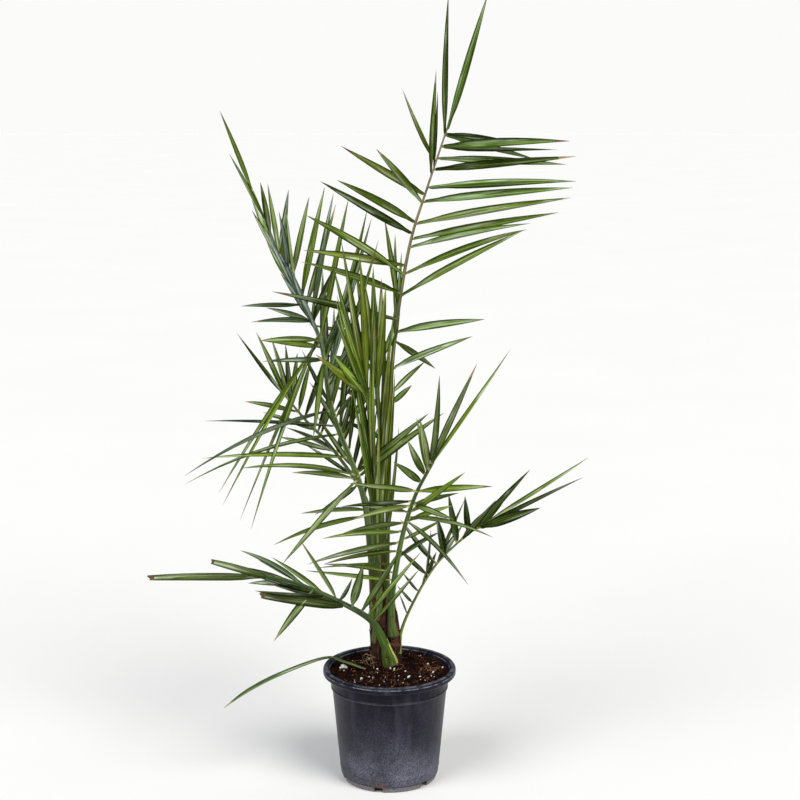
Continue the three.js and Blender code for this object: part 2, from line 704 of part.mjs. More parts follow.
const LOOKS = {
  leaf: new THREE.MeshStandardMaterial({ color: 0x4f7a32, roughness: 0.5 }),
  bark: new THREE.MeshStandardMaterial({ color: 0x6b4a2c, roughness: 0.9 }),
  plastic: new THREE.MeshStandardMaterial({ color: 0x23262c, roughness: 0.45 }),
  earth: new THREE.MeshStandardMaterial({ color: 0x2b1d15, roughness: 1 }),
};

function put(name, made, look) {
  const mesh = made.getMesh();
  const n = mesh.numProp;
  const points = new Float32Array(mesh.numVert * 3);
  for (let i = 0; i < mesh.numVert; i++) {
    points.set(mesh.vertProperties.subarray(i * n, i * n + 3), i * 3);
  }
  const geometry = new THREE.BufferGeometry();
  geometry.setAttribute("position", new THREE.BufferAttribute(points, 3));
  geometry.setIndex(new THREE.BufferAttribute(new Uint32Array(mesh.triVerts), 1));
  geometry.computeVertexNormals();
  const item = new THREE.Mesh(geometry, look);
  item.name = name;
  root.add(item);
}

const trunk = makeTrunk(0);
const trunkRoom = makeTrunk(GAP);
put("pot", makePot(), LOOKS.plastic);
put("soil", makeSoil().subtract(trunkRoom), LOOKS.earth);
put("trunk", trunk, LOOKS.bark);
for (const [name, made] of Object.entries(makeFronds(trunkRoom))) put(name, made, LOOKS.leaf);
put("loose_leaf", makeLooseLeaf(), LOOKS.leaf);

export default root;
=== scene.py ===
import math

import bpy
import numpy as np
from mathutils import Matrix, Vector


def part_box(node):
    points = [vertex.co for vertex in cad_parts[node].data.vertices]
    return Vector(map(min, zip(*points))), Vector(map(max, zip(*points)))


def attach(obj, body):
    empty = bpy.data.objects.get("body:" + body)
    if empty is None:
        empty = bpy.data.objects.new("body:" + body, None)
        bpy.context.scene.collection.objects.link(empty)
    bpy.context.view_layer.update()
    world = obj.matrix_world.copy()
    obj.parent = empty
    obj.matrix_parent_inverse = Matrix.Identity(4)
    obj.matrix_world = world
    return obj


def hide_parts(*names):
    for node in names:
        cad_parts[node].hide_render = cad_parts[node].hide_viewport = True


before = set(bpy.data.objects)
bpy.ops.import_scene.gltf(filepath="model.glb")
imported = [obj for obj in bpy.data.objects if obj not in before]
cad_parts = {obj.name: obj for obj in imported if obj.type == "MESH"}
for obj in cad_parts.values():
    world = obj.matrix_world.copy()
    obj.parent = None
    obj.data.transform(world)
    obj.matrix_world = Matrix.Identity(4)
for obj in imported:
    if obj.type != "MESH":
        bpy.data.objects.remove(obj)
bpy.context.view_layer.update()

MM = 0.001
dice = np.random.default_rng(11)

# ---- what the frame says about the pot ------------------------------------------------------
POT_LOW, POT_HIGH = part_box("pot")
SOIL_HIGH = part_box("soil")[1]
TRUNK_LOW, TRUNK_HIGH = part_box("trunk")
RIM_RADIUS = (POT_HIGH[0] - POT_LOW[0]) / 2
POT_HEIGHT = POT_HIGH[2]
FOOT_RADIUS = RIM_RADIUS * 0.709
NECK_RADIUS = RIM_RADIUS * 0.8636
BAND_LOW = POT_HEIGHT * 0.8316
LIP_LOW = POT_HEIGHT * 0.9316
WALL = 0.0022
SOIL_EDGE = SOIL_HIGH[2] - 0.0045
TRUNK_X = (TRUNK_LOW[0] + TRUNK_HIGH[0]) / 2
TRUNK_Y = (TRUNK_LOW[1] + TRUNK_HIGH[1]) / 2

# ---- camera, light, floor -------------------------------------------------------------------
scene = bpy.context.scene
scene.view_settings.view_transform = "Standard"


def set_camera():
    lens = bpy.data.cameras.new("studio_camera")
    lens.lens = 76.5
    lens.sensor_width = 36
    lens.clip_end = 60
    camera = bpy.data.objects.new("studio_camera", lens)
    camera.location = (0.0174, -2.691, 1.137)
    camera.rotation_euler = (math.radians(79.5), 0, 0)
    scene.collection.objects.link(camera)
    scene.camera = camera


def sun(name, turn, power, spread, tint):
    lamp = bpy.data.lights.new(name, "SUN")
    lamp.energy = power
    lamp.angle = math.radians(spread)
    lamp.color = tint
    item = bpy.data.objects.new(name, lamp)
    item.rotation_euler = [math.radians(t) for t in turn]
    scene.collection.objects.link(item)


def set_lights():
    sun("key_light", (30, 32, 0), 2.35, 34, (1.0, 0.985, 0.95))
    sun("key_light_left", (30, -38, 0), 1.75, 36, (0.98, 0.99, 1.0))
    sun("back_light", (-34, 12, 0), 0.35, 50, (1.0, 1.0, 1.0))
    world = bpy.data.worlds.new("studio_air")
    scene.world = world
    world.use_nodes = True
    tree = world.node_tree
    air = tree.nodes["Background"]
    air.inputs["Color"].default_value = (0.95, 0.975, 1.0, 1)
    air.inputs["Strength"].default_value = 0.17
    wall = tree.nodes.new("ShaderNodeBackground")
    wall.inputs["Color"].default_value = (0.965, 0.965, 0.955, 1)
    wall.inputs["Strength"].default_value = 1.0
    seen = tree.nodes.new("ShaderNodeLightPath")
    blend = tree.nodes.new("ShaderNodeMixShader")
    tree.links.new(seen.outputs["Is Camera Ray"], blend.inputs["Fac"])
    tree.links.new(air.outputs["Background"], blend.inputs[1])
    tree.links.new(wall.outputs["Background"], blend.inputs[2])
    tree.links.new(blend.outputs["Shader"], tree.nodes["World Output"].inputs["Surface"])


set_camera()
set_lights()

# ---- finishes -------------------------------------------------------------------------------


class Finish:
    """A node finish: noise and ramps that end in one principled shader."""

    def __init__(self, name, rough=0.5, gloss=0.5):
        self.made = bpy.data.materials.new(name)
        self.made.use_nodes = True
        self.tree = self.made.node_tree
        self.shader = self.tree.nodes["Principled BSDF"]
        self.shader.inputs["Roughness"].default_value = rough
        self.shader.inputs["Specular IOR Level"].default_value = gloss

    def add(self, kind, **values):
        node = self.tree.nodes.new(kind)
        for key, value in values.items():
            setattr(node, key, value)
        return node

    def feed(self, socket, value):
        if hasattr(value, "is_linked"):
            self.tree.links.new(value, socket)
        else:
            socket.default_value = value

    def place(self, stretch=(1, 1, 1), of="Object"):
        coords = self.add("ShaderNodeTexCoord")
        mapping = self.add("ShaderNodeMapping")
        mapping.inputs["Scale"].default_value = stretch
        self.tree.links.new(coords.outputs[of], mapping.inputs["Vector"])
        return mapping.outputs["Vector"]

    def noise(self, where, scale, detail=3.0, rough=0.55, bend=0.0):
        node = self.add("ShaderNodeTexNoise")
        self.feed(node.inputs["Vector"], where)
        node.inputs["Scale"].default_value = scale
        node.inputs["Detail"].default_value = detail
        node.inputs["Roughness"].default_value = rough
        node.inputs["Distortion"].default_value = bend
        return node.outputs["Fac"]

    def ramp(self, amount, stops):
        node = self.add("ShaderNodeValToRGB")
        band = node.color_ramp
        while len(band.elements) < len(stops):
            band.elements.new(0.5)
        for element, (at, tint) in zip(band.elements, stops):
            element.position = at
            grey = isinstance(tint, (int, float))
            element.color = (tint, tint, tint, 1) if grey else (*tint, 1)
        self.tree.links.new(amount, node.inputs["Fac"])
        return node.outputs["Color"]

    def mix(self, amount, low, high, how="MIX"):
        node = self.add("ShaderNodeMix", data_type="RGBA", blend_type=how)
        self.feed(node.inputs["Factor"], amount)
        for socket, value in ((node.inputs[6], low), (node.inputs[7], high)):
            self.feed(socket, value if hasattr(value, "is_linked") else (*value, 1))
        return node.outputs[2]

    def sum(self, kind, first, second=0.5):
        node = self.add("ShaderNodeMath", operation=kind)
        self.feed(node.inputs[0], first)
        self.feed(node.inputs[1], second)
        return node.outputs[0]

    def axis(self, where, letter):
        node = self.add("ShaderNodeSeparateXYZ")
        self.tree.links.new(where, node.inputs[0])
        return node.outputs[letter]

    def band(self, level, stops):
        """Thin bands of height. A ramp has few steps, so only their own stretch goes through it."""
        low, high = stops[0][0], stops[-1][0]
        spread = self.sum("DIVIDE", self.sum("SUBTRACT", level, low), high - low)
        return self.ramp(spread, [((z - low) / (high - low), v) for z, v in stops])

    def near(self, point, reach):
        """1 at a point of the object, falling to 0 at this reach from it."""
        node = self.add("ShaderNodeVectorMath", operation="DISTANCE")
        self.feed(node.inputs[0], self.place())
        node.inputs[1].default_value = point
        return self.ramp(node.outputs["Value"], [(0, 1.0), (reach, 0.0)])

    def colour(self, value):
        self.feed(self.shader.inputs["Base Color"], value)

    def roughness(self, value):
        self.feed(self.shader.inputs["Roughness"], value)

    def bump(self, height, distance, strength=1.0):
        node = self.add("ShaderNodeBump")
        node.inputs["Strength"].default_value = strength
        node.inputs["Distance"].default_value = distance
        self.feed(node.inputs["Height"], height)
        self.tree.links.new(node.outputs["Normal"], self.shader.inputs["Normal"])
        return self


def shade(tint, by):
    """A colour made lighter or darker by a factor."""
    return tuple(min(1.0, c * by) for c in tint)


def mixed(one, other):
    """The colour halfway between two."""
    return tuple((p + q) / 2 for p, q in zip(one, other))


# The tint of the painted highlights on leaf blades.
GLARE = (0.80, 0.90, 0.72)


def leaf_finish(name, tint, light, rough=0.4, line=0.75):
    """Blade of a leaflet: fine veins along it, a paler line down the fold, soft mottling, painted shade
    darkening both edges, and painted highlight streaks beside the fold.
    """
    f = Finish(name, rough, 0.34)
    lie = f.place((1, 1, 1), "UV")
    veins = f.noise(f.place((2.2, 2.4, 1), "UV"), 5.0, 3.0)
    cloud = f.noise(f.place(), 24.0, 4.0)
    streak = f.noise(f.place((0.9, 0.85, 1), "UV"), 6.0, 3.0)
    base = f.ramp(cloud, [(0.3, shade(tint, 0.5)), (0.52, tint), (0.74, shade(tint, 1.45))])
    base = f.mix(f.ramp(veins, [(0.36, 0.6), (0.5, 0.0)]), base, shade(tint, 0.35))
    base = f.mix(f.ramp(veins, [(0.5, 0.0), (0.7, 0.5)]), base, light)
    base = f.mix(f.ramp(streak, [(0.3, 0.6), (0.46, 0.0)]), base, shade(tint, 0.4))
    base = f.mix(f.ramp(streak, [(0.54, 0.0), (0.70, 0.75)]), base, light)
    across = f.axis(lie, "Y")
    # painted shade: both edges of the blade are darkened, as if in shade
    edge = [(0.0, 1.0), (0.11, 0.8), (0.25, 0.0), (0.75, 0.0), (0.89, 0.8), (1.0, 1.0)]
    base = f.mix(f.ramp(across, edge), base, shade(tint, 0.3))
    # painted highlight: pale glare streaks mixed into the blade's colour beside the fold, stronger on one
    # side of it
    gleam = f.ramp(f.noise(f.place((11, 0.9, 1), "UV"), 1.0, 2.0), [(0.51, 0.0), (0.64, 0.9)])
    one_side = [(0.14, 0.0), (0.30, 1.0), (0.42, 1.0), (0.49, 0.0)]
    other_side = [(0.6, 0.0), (0.68, 0.6), (0.8, 0.0)]
    beside = f.ramp(across, one_side + other_side)
    base = f.mix(f.sum("MULTIPLY", gleam, beside), base, mixed(light, GLARE))
    fold = [(0.0, 0.0), (0.44, 0.0), (0.5, line), (0.56, 0.0), (1.0, 0.0)]
    f.colour(f.mix(f.ramp(across, fold), base, light))
    f.roughness(f.ramp(cloud, [(0.3, rough - 0.1), (0.7, rough + 0.12)]))
    waxy = f.ramp(streak, [(0.46, 0.04), (0.62, 0.9)])
    inside = f.ramp(across, [(0.08, 0.06), (0.26, 0.9), (0.74, 0.9), (0.92, 0.06)])
    f.feed(f.shader.inputs["Specular IOR Level"], f.sum("MULTIPLY", waxy, inside))
    return f.bump(veins, 0.0006, 0.7).made


def plain_finish(name, tint, spread, rough, scale, gloss=0.35):
    """A small part of the plant: its own tint, varied and slightly rough."""
    f = Finish(name, rough, gloss)
    cloud = f.noise(f.place(), scale, 4.0)
    stops = [(0.28, shade(tint, 1 - spread)), (0.5, tint), (0.74, shade(tint, 1 + spread))]
    f.colour(f.ramp(cloud, stops))
    f.roughness(f.ramp(cloud, [(0.3, rough - 0.1), (0.7, rough + 0.12)]))
    return f.bump(cloud, 0.0005, 0.6).made


# ---- finishes of this plant -----------------------------------------------------------------
LEAF_TINTS = {
    # name: (blade, paler veins and fold line, roughness)
    "leaf_green": ((0.084, 0.146, 0.004), (0.40, 0.53, 0.13), 0.30),
    "leaf_fresh_green": ((0.080, 0.158, 0.004), (0.50, 0.68, 0.30), 0.28),
    "leaf_deep_green": ((0.028, 0.052, 0.002), (0.23, 0.33, 0.08), 0.28),
    "leaf_bright_green": ((0.158, 0.258, 0.010), (0.52, 0.66, 0.18), 0.32),
    "leaf_pale_green": ((0.205, 0.285, 0.050), (0.52, 0.60, 0.22), 0.42),
    "leaf_young_green": ((0.155, 0.212, 0.010), (0.52, 0.60, 0.16), 0.42),
    "leaf_grey_green": ((0.094, 0.146, 0.020), (0.48, 0.60, 0.26), 0.36),
    "leaf_blue_green": ((0.070, 0.120, 0.034), (0.46, 0.60, 0.36), 0.36),
    "leaf_silver_green": ((0.112, 0.180, 0.108), (0.86, 0.95, 0.90), 0.32),
    "leaf_dusky_green": ((0.036, 0.058, 0.008), (0.22, 0.29, 0.10), 0.36),
}
looks = {name: leaf_finish(name, *values) for name, values in LEAF_TINTS.items()}
looks["leaf_underside"] = leaf_finish("leaf_underside", (0.090, 0.146, 0.036), (0.29, 0.39, 0.15), 0.5, 0.7)
PLAIN_TINTS = {
    # name: (tint, how much it varies, roughness, fineness, gloss where it is not the usual one)
    "leaf_joint_yellow": ((0.42, 0.42, 0.14), 0.25, 0.5, 220),
    "leaf_joint_tan": ((0.27, 0.20, 0.09), 0.3, 0.55, 220),
    "leaf_joint_green": ((0.16, 0.24, 0.07), 0.25, 0.5, 220),
    "leaf_tip_brown": ((0.14, 0.085, 0.045), 0.35, 0.75, 260),
    "leaf_tip_tan": ((0.36, 0.27, 0.13), 0.3, 0.75, 260),
    "leaf_edge_yellow": ((0.46, 0.47, 0.12), 0.2, 0.5, 120),
    "leaf_spot_red": ((0.42, 0.16, 0.10), 0.3, 0.6, 300),
    "fibre_red_brown": ((0.115, 0.045, 0.022), 0.5, 0.85, 160, 0.15),
    "fibre_orange": ((0.30, 0.145, 0.058), 0.35, 0.8, 160),
    "fibre_dark": ((0.035, 0.017, 0.010), 0.4, 0.9, 160, 0.1),
    "root_pale": ((0.36, 0.235, 0.125), 0.35, 0.75, 200),
    "soil_crumb_dark": ((0.008, 0.0026, 0.0026), 0.5, 0.95, 420, 0.06),
    "soil_crumb_brown": ((0.030, 0.0105, 0.0070), 0.5, 0.95, 420, 0.06),
    "soil_chip_orange": ((0.13, 0.050, 0.024), 0.4, 0.9, 300, 0.1),
    "perlite_white": ((0.78, 0.76, 0.72), 0.12, 0.85, 380),
}
looks.update({name: plain_finish(name, *values) for name, values in PLAIN_TINTS.items()})

# ---- mesh tools -----------------------------------------------------------------------------


def clear_selection():
    if bpy.context.object and bpy.context.object.mode != "OBJECT":
        bpy.ops.object.mode_set(mode="OBJECT")
    bpy.ops.object.select_all(action="DESELECT")


def take(item):
    clear_selection()
    item.select_set(True)
    bpy.context.view_layer.objects.active = item
    return item


def mend(item):
    """Faces turned outwards."""
    take(item)
    bpy.ops.object.mode_set(mode="EDIT")
    bpy.ops.mesh.select_all(action="SELECT")
    bpy.ops.mesh.normals_make_consistent(inside=False)
    bpy.ops.object.mode_set(mode="OBJECT")


def soften(item, angle=40):
    take(item)
    bpy.ops.object.shade_smooth_by_angle(angle=math.radians(angle))


def press(item, kind, **values):
    """Adds a modifier and applies it."""
    take(item)
    modifier = item.modifiers.new(kind.lower(), kind)
    for key, value in values.items():
        setattr(modifier, key, value)
    bpy.ops.object.modifier_apply(modifier=modifier.name)


def settle(item):
    take(item)
    bpy.ops.object.transform_apply(location=True, rotation=True, scale=True)


class Heap:
    """Many small shapes joined into one mesh, each face with its own finish."""

    def __init__(self, finishes):
        self.finishes = list(finishes)
        self.points = []
        self.faces = []
        self.marks = []
        self.uv = []
        self.count = 0

    def put(self, points, faces, finish, uv=None):
        """finish is one name, or one for each face."""
        points = np.asarray(points, float)
        start = self.count
        self.points.append(points)
        self.count += len(points)
        same = isinstance(finish, str)
        for k, face in enumerate(faces):
            self.faces.append([start + i for i in face])
            self.marks.append(self.finishes.index(finish if same else finish[k]))
        self.uv.append(np.zeros((len(points), 2)) if uv is None else np.asarray(uv, float))

    def make(self, name, angle=40):
        mesh = bpy.data.meshes.new(name)
        mesh.from_pydata(np.concatenate(self.points).tolist(), [], self.faces)
        for finish in self.finishes:
            mesh.materials.append(looks[finish])
        mesh.polygons.foreach_set("material_index", self.marks)
        lie = mesh.uv_layers.new(name="blade")
        corner = np.zeros(len(mesh.loops), int)
        mesh.loops.foreach_get("vertex_index", corner)
        lie.data.foreach_set("uv", np.concatenate(self.uv)[corner].ravel())
        item = bpy.data.objects.new(name, mesh)
        scene.collection.objects.link(item)
        mend(item)
        soften(item, angle)
        return item


def ring_faces(rings, around):
    """Quads between rings of the same number of points, and an end face at each end."""
    faces = []
    for k in range(rings - 1):
        for i in range(around):
            j = (i + 1) % around
            faces.append([k * around + i, k * around + j, (k + 1) * around + j, (k + 1) * around + i])
    faces.append(list(range(around))[::-1])
    faces.append([(rings - 1) * around + i for i in range(around)])
    return faces


def unit(v):
    v = np.asarray(v, float)
    return v / np.maximum(np.linalg.norm(v, axis=-1, keepdims=True), 1e-12)


def turn_about(v, way, angle):
    """v turned about the unit vector way."""
    c, s = math.cos(angle), math.sin(angle)
    return v * c + np.cross(way, v) * s + way * (v @ way) * (1 - c)


def directions(line):
    """The way a line of points runs at each of them."""
    ahead = np.vstack([line[1:], line[-1:]])
    behind = np.vstack([line[:1], line[:-1]])
    return unit(ahead - behind)


THREAD_END = 0.35  # a thread's radius at its end, as a share of that at its start


def strand(line, radius, around):
    """A thin round thread along a line: its points and faces."""
    ways = directions(line)
    helper = np.array([0.31, 0.17, 0.93]) if abs(ways[0][2]) < 0.8 else np.array([0.9, 0.1, 0.2])
    n = len(line)
    points = []
    for k, (p, way) in enumerate(zip(line, ways)):
        side = unit(np.cross(way, helper))
        up = np.cross(way, side)
        r = radius * (1 - (1 - THREAD_END) * k / (n - 1))
        for i in range(around):
            a = 2 * math.pi * i / around
            points.append(p + r * (side * math.cos(a) + up * math.sin(a)))
    return np.array(points), ring_faces(n, around)


# The corners and faces of a lump with twenty faces, made rough each time it is used.
GOLD = (1 + 5 ** 0.5) / 2
LUMP = unit(
    np.array(
        [p for a in (-1, 1) for b in (-GOLD, GOLD) for p in ((0, a, b), (a, b, 0), (b, 0, a))],
        float,
    )
)


def lump_faces():
    faces = []
    near = 1.06
    for i in range(12):
        for j in range(i + 1, 12):
            for k in range(j + 1, 12):
                a, b, c = LUMP[i], LUMP[j], LUMP[k]
                if max(np.linalg.norm(a - b), np.linalg.norm(b - c), np.linalg.norm(c - a)) < near:
                    out = np.dot(np.cross(b - a, c - a), a + b + c) > 0
                    faces.append([i, j, k] if out else [i, k, j])
    return faces


LUMP_FACES = lump_faces()


def lump(place, size, flat=1.0):
    """A rough crumb: its points."""
    spin = unit(dice.normal(size=(3, 3)))
    q, _ = np.linalg.qr(spin)
    own = LUMP * dice.uniform(0.72, 1.15, (12, 1)) * np.array([1, dice.uniform(0.6, 1), 0.75])
    own = own @ q.T
    own[:, 2] *= flat
    return np.asarray(place) + own * size


# ---- fronds: where every leaflet goes, by the same rule as the solids ------------------------
DEPTH_NUDGES = [0, 7, -7, 14, -14, 21, -21, 28, -28, 36, -36]
FRONT_NUDGES = [0, 3, -3]

# Each frond: its midrib through a few points in millimetres, its radius low and high and how soon it
# narrows, then its leaflets. A run of leaflets is (share of the midrib first, last, how many, front
# angle first, last, depth angle first, last, length first, last, sag as a share of the length, width).
# One leaflet is (share of the midrib, front angle, depth angle, length, sag, width). Either may end
# with its blunt tip, as a share of its width.
FRONDS = {
    "frond_tall_right": {
        "midrib": [
            (-4, 45, 306), (-4, 46, 375), (0, 55, 560), (5, 75, 690), (19, 100, 800), (37, 130, 890),
            (60, 160, 960), (95, 205, 1060),
        ],
        "radius": (4.8, 1.5, 1),
        "runs": [
            (0.395, 0.417, 2, 36, 43, 50, 40, 70, 100, 0.05, 10),
            (0.47, 0.547, 2, 20, 7, 25, 25, 160, 168, 0.05, 13.6), (0.53, -35, 45, 120, 0.1, 11.2),
            (0.623, 30, -5, 234, 0.02, 13.8), (0.671, 24, 4, 223, 0.08, 11.4),
            (0.729, 15, -14, 209, 0.04, 12), (0.747, 13, -4, 249, 0.04, 13.4),
            (0.781, 13, -12, 265, 0.04, 14.6), (0.832, 8, -10, 252, 0.03, 14.8),
            (0.867, 6, -12, 250, 0.05, 14.8), (0.909, 6, -14, 241, 0, 14), (0.936, -3, 6, 220, 0, 13.6),
            (0.964, -2, 12, 205, 0, 12), (0.964, 4, -12, 217, 0.02, 14.8),
            (0.991, -15, 14, 165, 0, 11.2), (0.995, -7, 24, 117, 0, 12), (1, 73, 5, 241, 0, 13.6),
            (0.991, 89, -8, 232, 0, 10.4), (0.575, 0.69, 2, 161, 164, -30, -35, 240, 205, 0.04, 13.6),
            (0.63, 156, -30, 200, 0.04, 13.6),
            (0.67, 0.85, 3, 144, 146, -35, -35, 235, 200, 0.04, 13.8),
            (0.785, 0.83, 2, 145, 125, -38, -45, 192, 178, 0.04, 13.6), (0.896, 88, -20, 184, 0, 9.6),
            (0.927, 115, -26, 147, 0, 9.6), (0.913, 88, -30, 145, 0, 6), (0.57, -112, -20, 66, 0, 13.8),
            (0.32, 0.52, 4, 160, 168, 45, 38, 120, 190, 0.08, 11.2),
            (0.5, 0.6, 3, 84, 98, 30, 36, 190, 180, 0.02, 10),
        ],
    },
    "frond_tall_left": {
        "midrib": [
            (-24, 40, 306), (-31, 41, 370), (-45, 45, 475), (-95, 65, 610), (-115, 85, 725),
            (-165, 100, 825), (-225, 120, 965),
        ],
        "radius": (7.2, 2.2, 0.7),
        "runs": [
            (0.275, -134, -20, 186, 0, 11.3), (0.265, -137, 35, 130, 0, 9),
            (0.185, -177, -10, 156, 0.22, 8.6), (0.285, 156, -28, 225, 0.2, 8.6),
            (0.33, 171, -15, 248, 0.1, 8.6), (0.39, 0.45, 2, -178, -173, -18, -28, 262, 262, 0.24, 8.6),
            (0.41, 178, 18, 240, 0.06, 9), (0.615, 0.63, 4, -128, -110, -8, -22, 285, 318, 0.08, 7.6),
            (0.57, -98, -30, 130, 0.05, 10.2), (0.57, 0.71, 4, 162, 168, -50, -45, 150, 135, 0.08, 9.8),
            (0.82, 82, -22, 64, 0, 12.6), (0.43, 57, -32, 66, 0, 9),
            (0.6, 0.66, 2, 176, 164, 40, 48, 138, 132, 0.08, 10.2),
            (0.46, 0.72, 6, 74.5, 77, -8, -14, 302, 200, 0, 11.3), (0.744, 94, -30, 174, 0, 7.4),
            (0.79, 94, -37, 137, 0, 10.6), (0.837, 95, -38, 157, 0, 9), (0.89, 97, -35, 110, 0, 10.6),
            (0.7, 0.84, 3, 72, 84, 20, 25, 185, 115, 0, 10.2),
            (0.66, 0.84, 3, 126, 118, 42, 38, 130, 130, 0.03, 10.2), (1, 112, 5, 142, 0, 8),
            (0.925, 115, -22, 133, 0, 7.6), (0.28, 0.29, 2, 44, 45, -32, -22, 235, 200, 0.04, 12.4),
            (0.38, 0.5, 3, 62, 50, 42, 50, 180, 180, 0.05, 10.2),
            (0.34, 0.56, 5, 82, 94, 24, 34, 205, 180, 0.03, 11),
            (0.63, 0.8, 4, 112, 119, -10, 6, 128, 112, 0, 10),
            (0.3, 0.46, 3, 128, 118, 30, 20, 120, 110, 0.03, 10),
            (0.52, 0.66, 3, 60, 68, -40, -30, 160, 140, 0.02, 11),
        ],
    },
    "frond_back_left": {
        "midrib": [
            (-19, 54, 300), (-30, 70, 385), (-40, 80, 455), (-95, 120, 530), (-145, 160, 575),
            (-180, 190, 610),
        ],
        "radius": (4.8, 1.8, 0.8),
        "runs": [
            (0.95, 1, 5, 84, 128, 20, 15, 90, 140, 0, 9.6),
            (0.53, 0.9, 4, 150, 166, 40, 25, 120, 110, 0.12, 9.2),
            (0.5, 0.9, 4, 62, 76, 45, 30, 130, 110, 0.05, 9.2),
            (0.3, 0.86, 6, 84, 70, -6, 18, 165, 130, 0, 9.4),
            (0.35, 0.8, 4, 176, 160, 12, 22, 118, 100, 0.1, 10),
        ],
    },
    "frond_young": {
        "midrib": [
            (-16, 15, 306), (-25, 0, 470), (-30, -10, 590), (-35, -20, 655),
        ],
        "radius": (5.4, 3, 0.8),
        "runs": [
            (0.93, 1, 4, 109, 94, -20, -10, 170, 235, 0, 11.5), (0.99, 138, -25, 118, 0, 16),
            (0.97, 124, -28, 106, 0, 15), (0.12, 0.78, 6, 91, 87.5, -9, -7, 225, 245, 0, 7),
            (0.95, 1, 2, 102, 99, 2, 12, 225, 250, 0, 10.8),
            (0.34, 0.9, 5, 97, 101, -10, 2, 245, 235, 0, 9.6),
        ],
    },
    "frond_spear": {
        "midrib": [
            (-10, 29, 306), (-13, 30, 465), (-15, 30, 580), (-20, 30, 660),
        ],
        "radius": (5.4, 3, 0.8),
        "runs": [
            (0.96, 1, 6, 84, 100, -10, 12, 180, 205, 0, 12.6),
            (0.36, 0.88, 5, 86, 93, -8, 10, 245, 215, 0, 9.6),
            (0.14, 0.72, 4, 88, 86, -5, -3, 240, 230, 0, 7),
        ],
    },
    "frond_mid_right": {
        "midrib": [
            (4, 4, 240), (3, 0, 290), (8, -5, 340), (22, -19, 420), (42, -40, 490), (68, -72, 549),
        ],
        "radius": (9.2, 2.4, 0.45),
        "runs": [
            (0.81, 171, -8, 111, 0, 10.5), (0.75, 182, -4, 116, 0.03, 10),
            (0.72, 184, -14, 96, 0.1, 10), (0.68, 172, 18, 88, 0.05, 9), (0.62, 179, -8, 102, 0.15, 10),
            (0.57, 175, -12, 134, 0.12, 9.6), (0.51, 182, -10, 154, 0.16, 11),
            (0.46, 180, -4, 123, 0.16, 8), (0.39, 175, -8, 131, 0.1, 7), (0.34, 167, 4, 120, 0.12, 7),
            (0.3, 173, -2, 147, 0, 8), (0.87, 132, -48, 100, 0, 12), (0.92, 112, -43, 106, 0, 12.5),
            (0.96, 99, -38, 125, 0, 12.5), (0.98, 86, -30, 188, 0, 11), (1, 59.7, -22, 248, 0, 9.4),
            (0.985, 70, -30, 225, 0, 10.6), (0.81, 8, -10, 122, 0.03, 11.4),
            (0.68, 42, -25, 130, 0, 12), (0.73, -10, -30, 78, 0.05, 10.3), (0.65, 4, -12, 140, 0.25, 8),
            (0.63, -28, -30, 128, 0.28, 8), (0.42, 0.73, 4, 25, 10, 45, 38, 110, 100, 0.08, 9.1),
            (0.94, 0.99, 2, 100, 80, 12, 15, 88, 86, 0, 9),
        ],
    },
    "frond_low_right": {
        "midrib": [
            (16, 13, 207), (19.5, 14.5, 245), (41, 36, 291), (78, 68, 344), (128, 102, 384),
            (153, 116, 397),
        ],
        "radius": (3.6, 1.6, 0.5),
        "runs": [
            (1, 31, 10, 222, 0, 9.2), (0.98, 27.5, -4, 200, 0, 8.6), (0.99, 22, -14, 114, 0, 17),
            (0.95, 37, 38, 96, 0, 14), (0.97, 52, -15, 148, 0, 11.4), (0.25, 110, -30, 57, 0, 3.2),
            (0.33, 127, -38, 56, 0, 5.4), (0.41, 121, -38, 70, 0, 6.4), (0.53, 130, -38, 94, 0, 8.2),
            (0.62, 124, -38, 119, 0, 10.5), (0.49, 85, -20, 106, 0, 5), (0.62, 66, 10, 120, 0, 6.5),
            (0.7, 0.92, 3, 100, 98, -28, -30, 122, 88, 0, 12.6), (0.84, 54, -20, 106, 0, 11.4),
            (0.43, 0.85, 3, 60, 40, 55, 50, 100, 120, 0.08, 9.6), (0.45, 76, -30, 54, 0, 4),
        ],
    },
    "frond_low_left": {
        "midrib": [
            (3, -1, 199), (-9, -10, 234), (-29, -20, 274), (-75, -40, 310), (-140, -70, 350),
            (-195, -105, 375),
        ],
        "radius": (12.5, 2.2, 0.45),
        "runs": [
            (1, 174.5, -20, 187, 0, 14.2, 0.6), (0.98, 148, -42, 127, 0, 13, 0.6),
            (0.75, 144, 15, 134, 0.2, 9.6), (0.73, 163, 38, 112, 0, 8.6), (0.61, 148, 15, 108, 0, 8.6),
            (0.6, 162, -38, 145, 0, 10.6), (0.46, 162, -30, 163, 0, 16.4, 0.5),
            (0.69, -132, -34, 108, 0, 13), (0.53, 119, 22, 122, 0, 9.2), (0.52, 68, -48, 98, 0, 9.6),
            (0.43, 78, -40, 133, 0, 15), (0.37, 64, -34, 186, 0, 12), (0.32, 57, -28, 182, 0, 8.6),
            (0.27, 55, -24, 145, 0, 7), (0.8, 0.92, 2, 190, 176, 40, 35, 110, 100, 0.08, 10.6),
            (0.5, 0.82, 4, 160, 165, -6, 6, 130, 112, 0.03, 9),
        ],
    },
}
RUN_SIZE = 11


def full_row(row):
    """A row of leaflets with all its values: one leaflet is written out like a run of one."""
    if len(row) < RUN_SIZE:
        share, front, depth, length, *rest = row
        row = (share, share, 1, front, front, depth, depth, length, length, *rest)
    return (*row, 0)[:RUN_SIZE + 1]


# The old leaf over the rim: points of its middle line in millimetres, each with a half width.
LOOSE_LEAF = [
    [-40, -17, 190.1, 3],
    [-76, 4, 195.5, 7],
    [-108, 12, 199, 9],
    [-180, -15, 180, 10],
    [-232, -35, 159, 6.5],
    [-270, -50, 136, 0.8],
]
FRONT = np.array([0.0, -1.0, 0.0])


def mix(a, b, u):
    return a + (b - a) * u


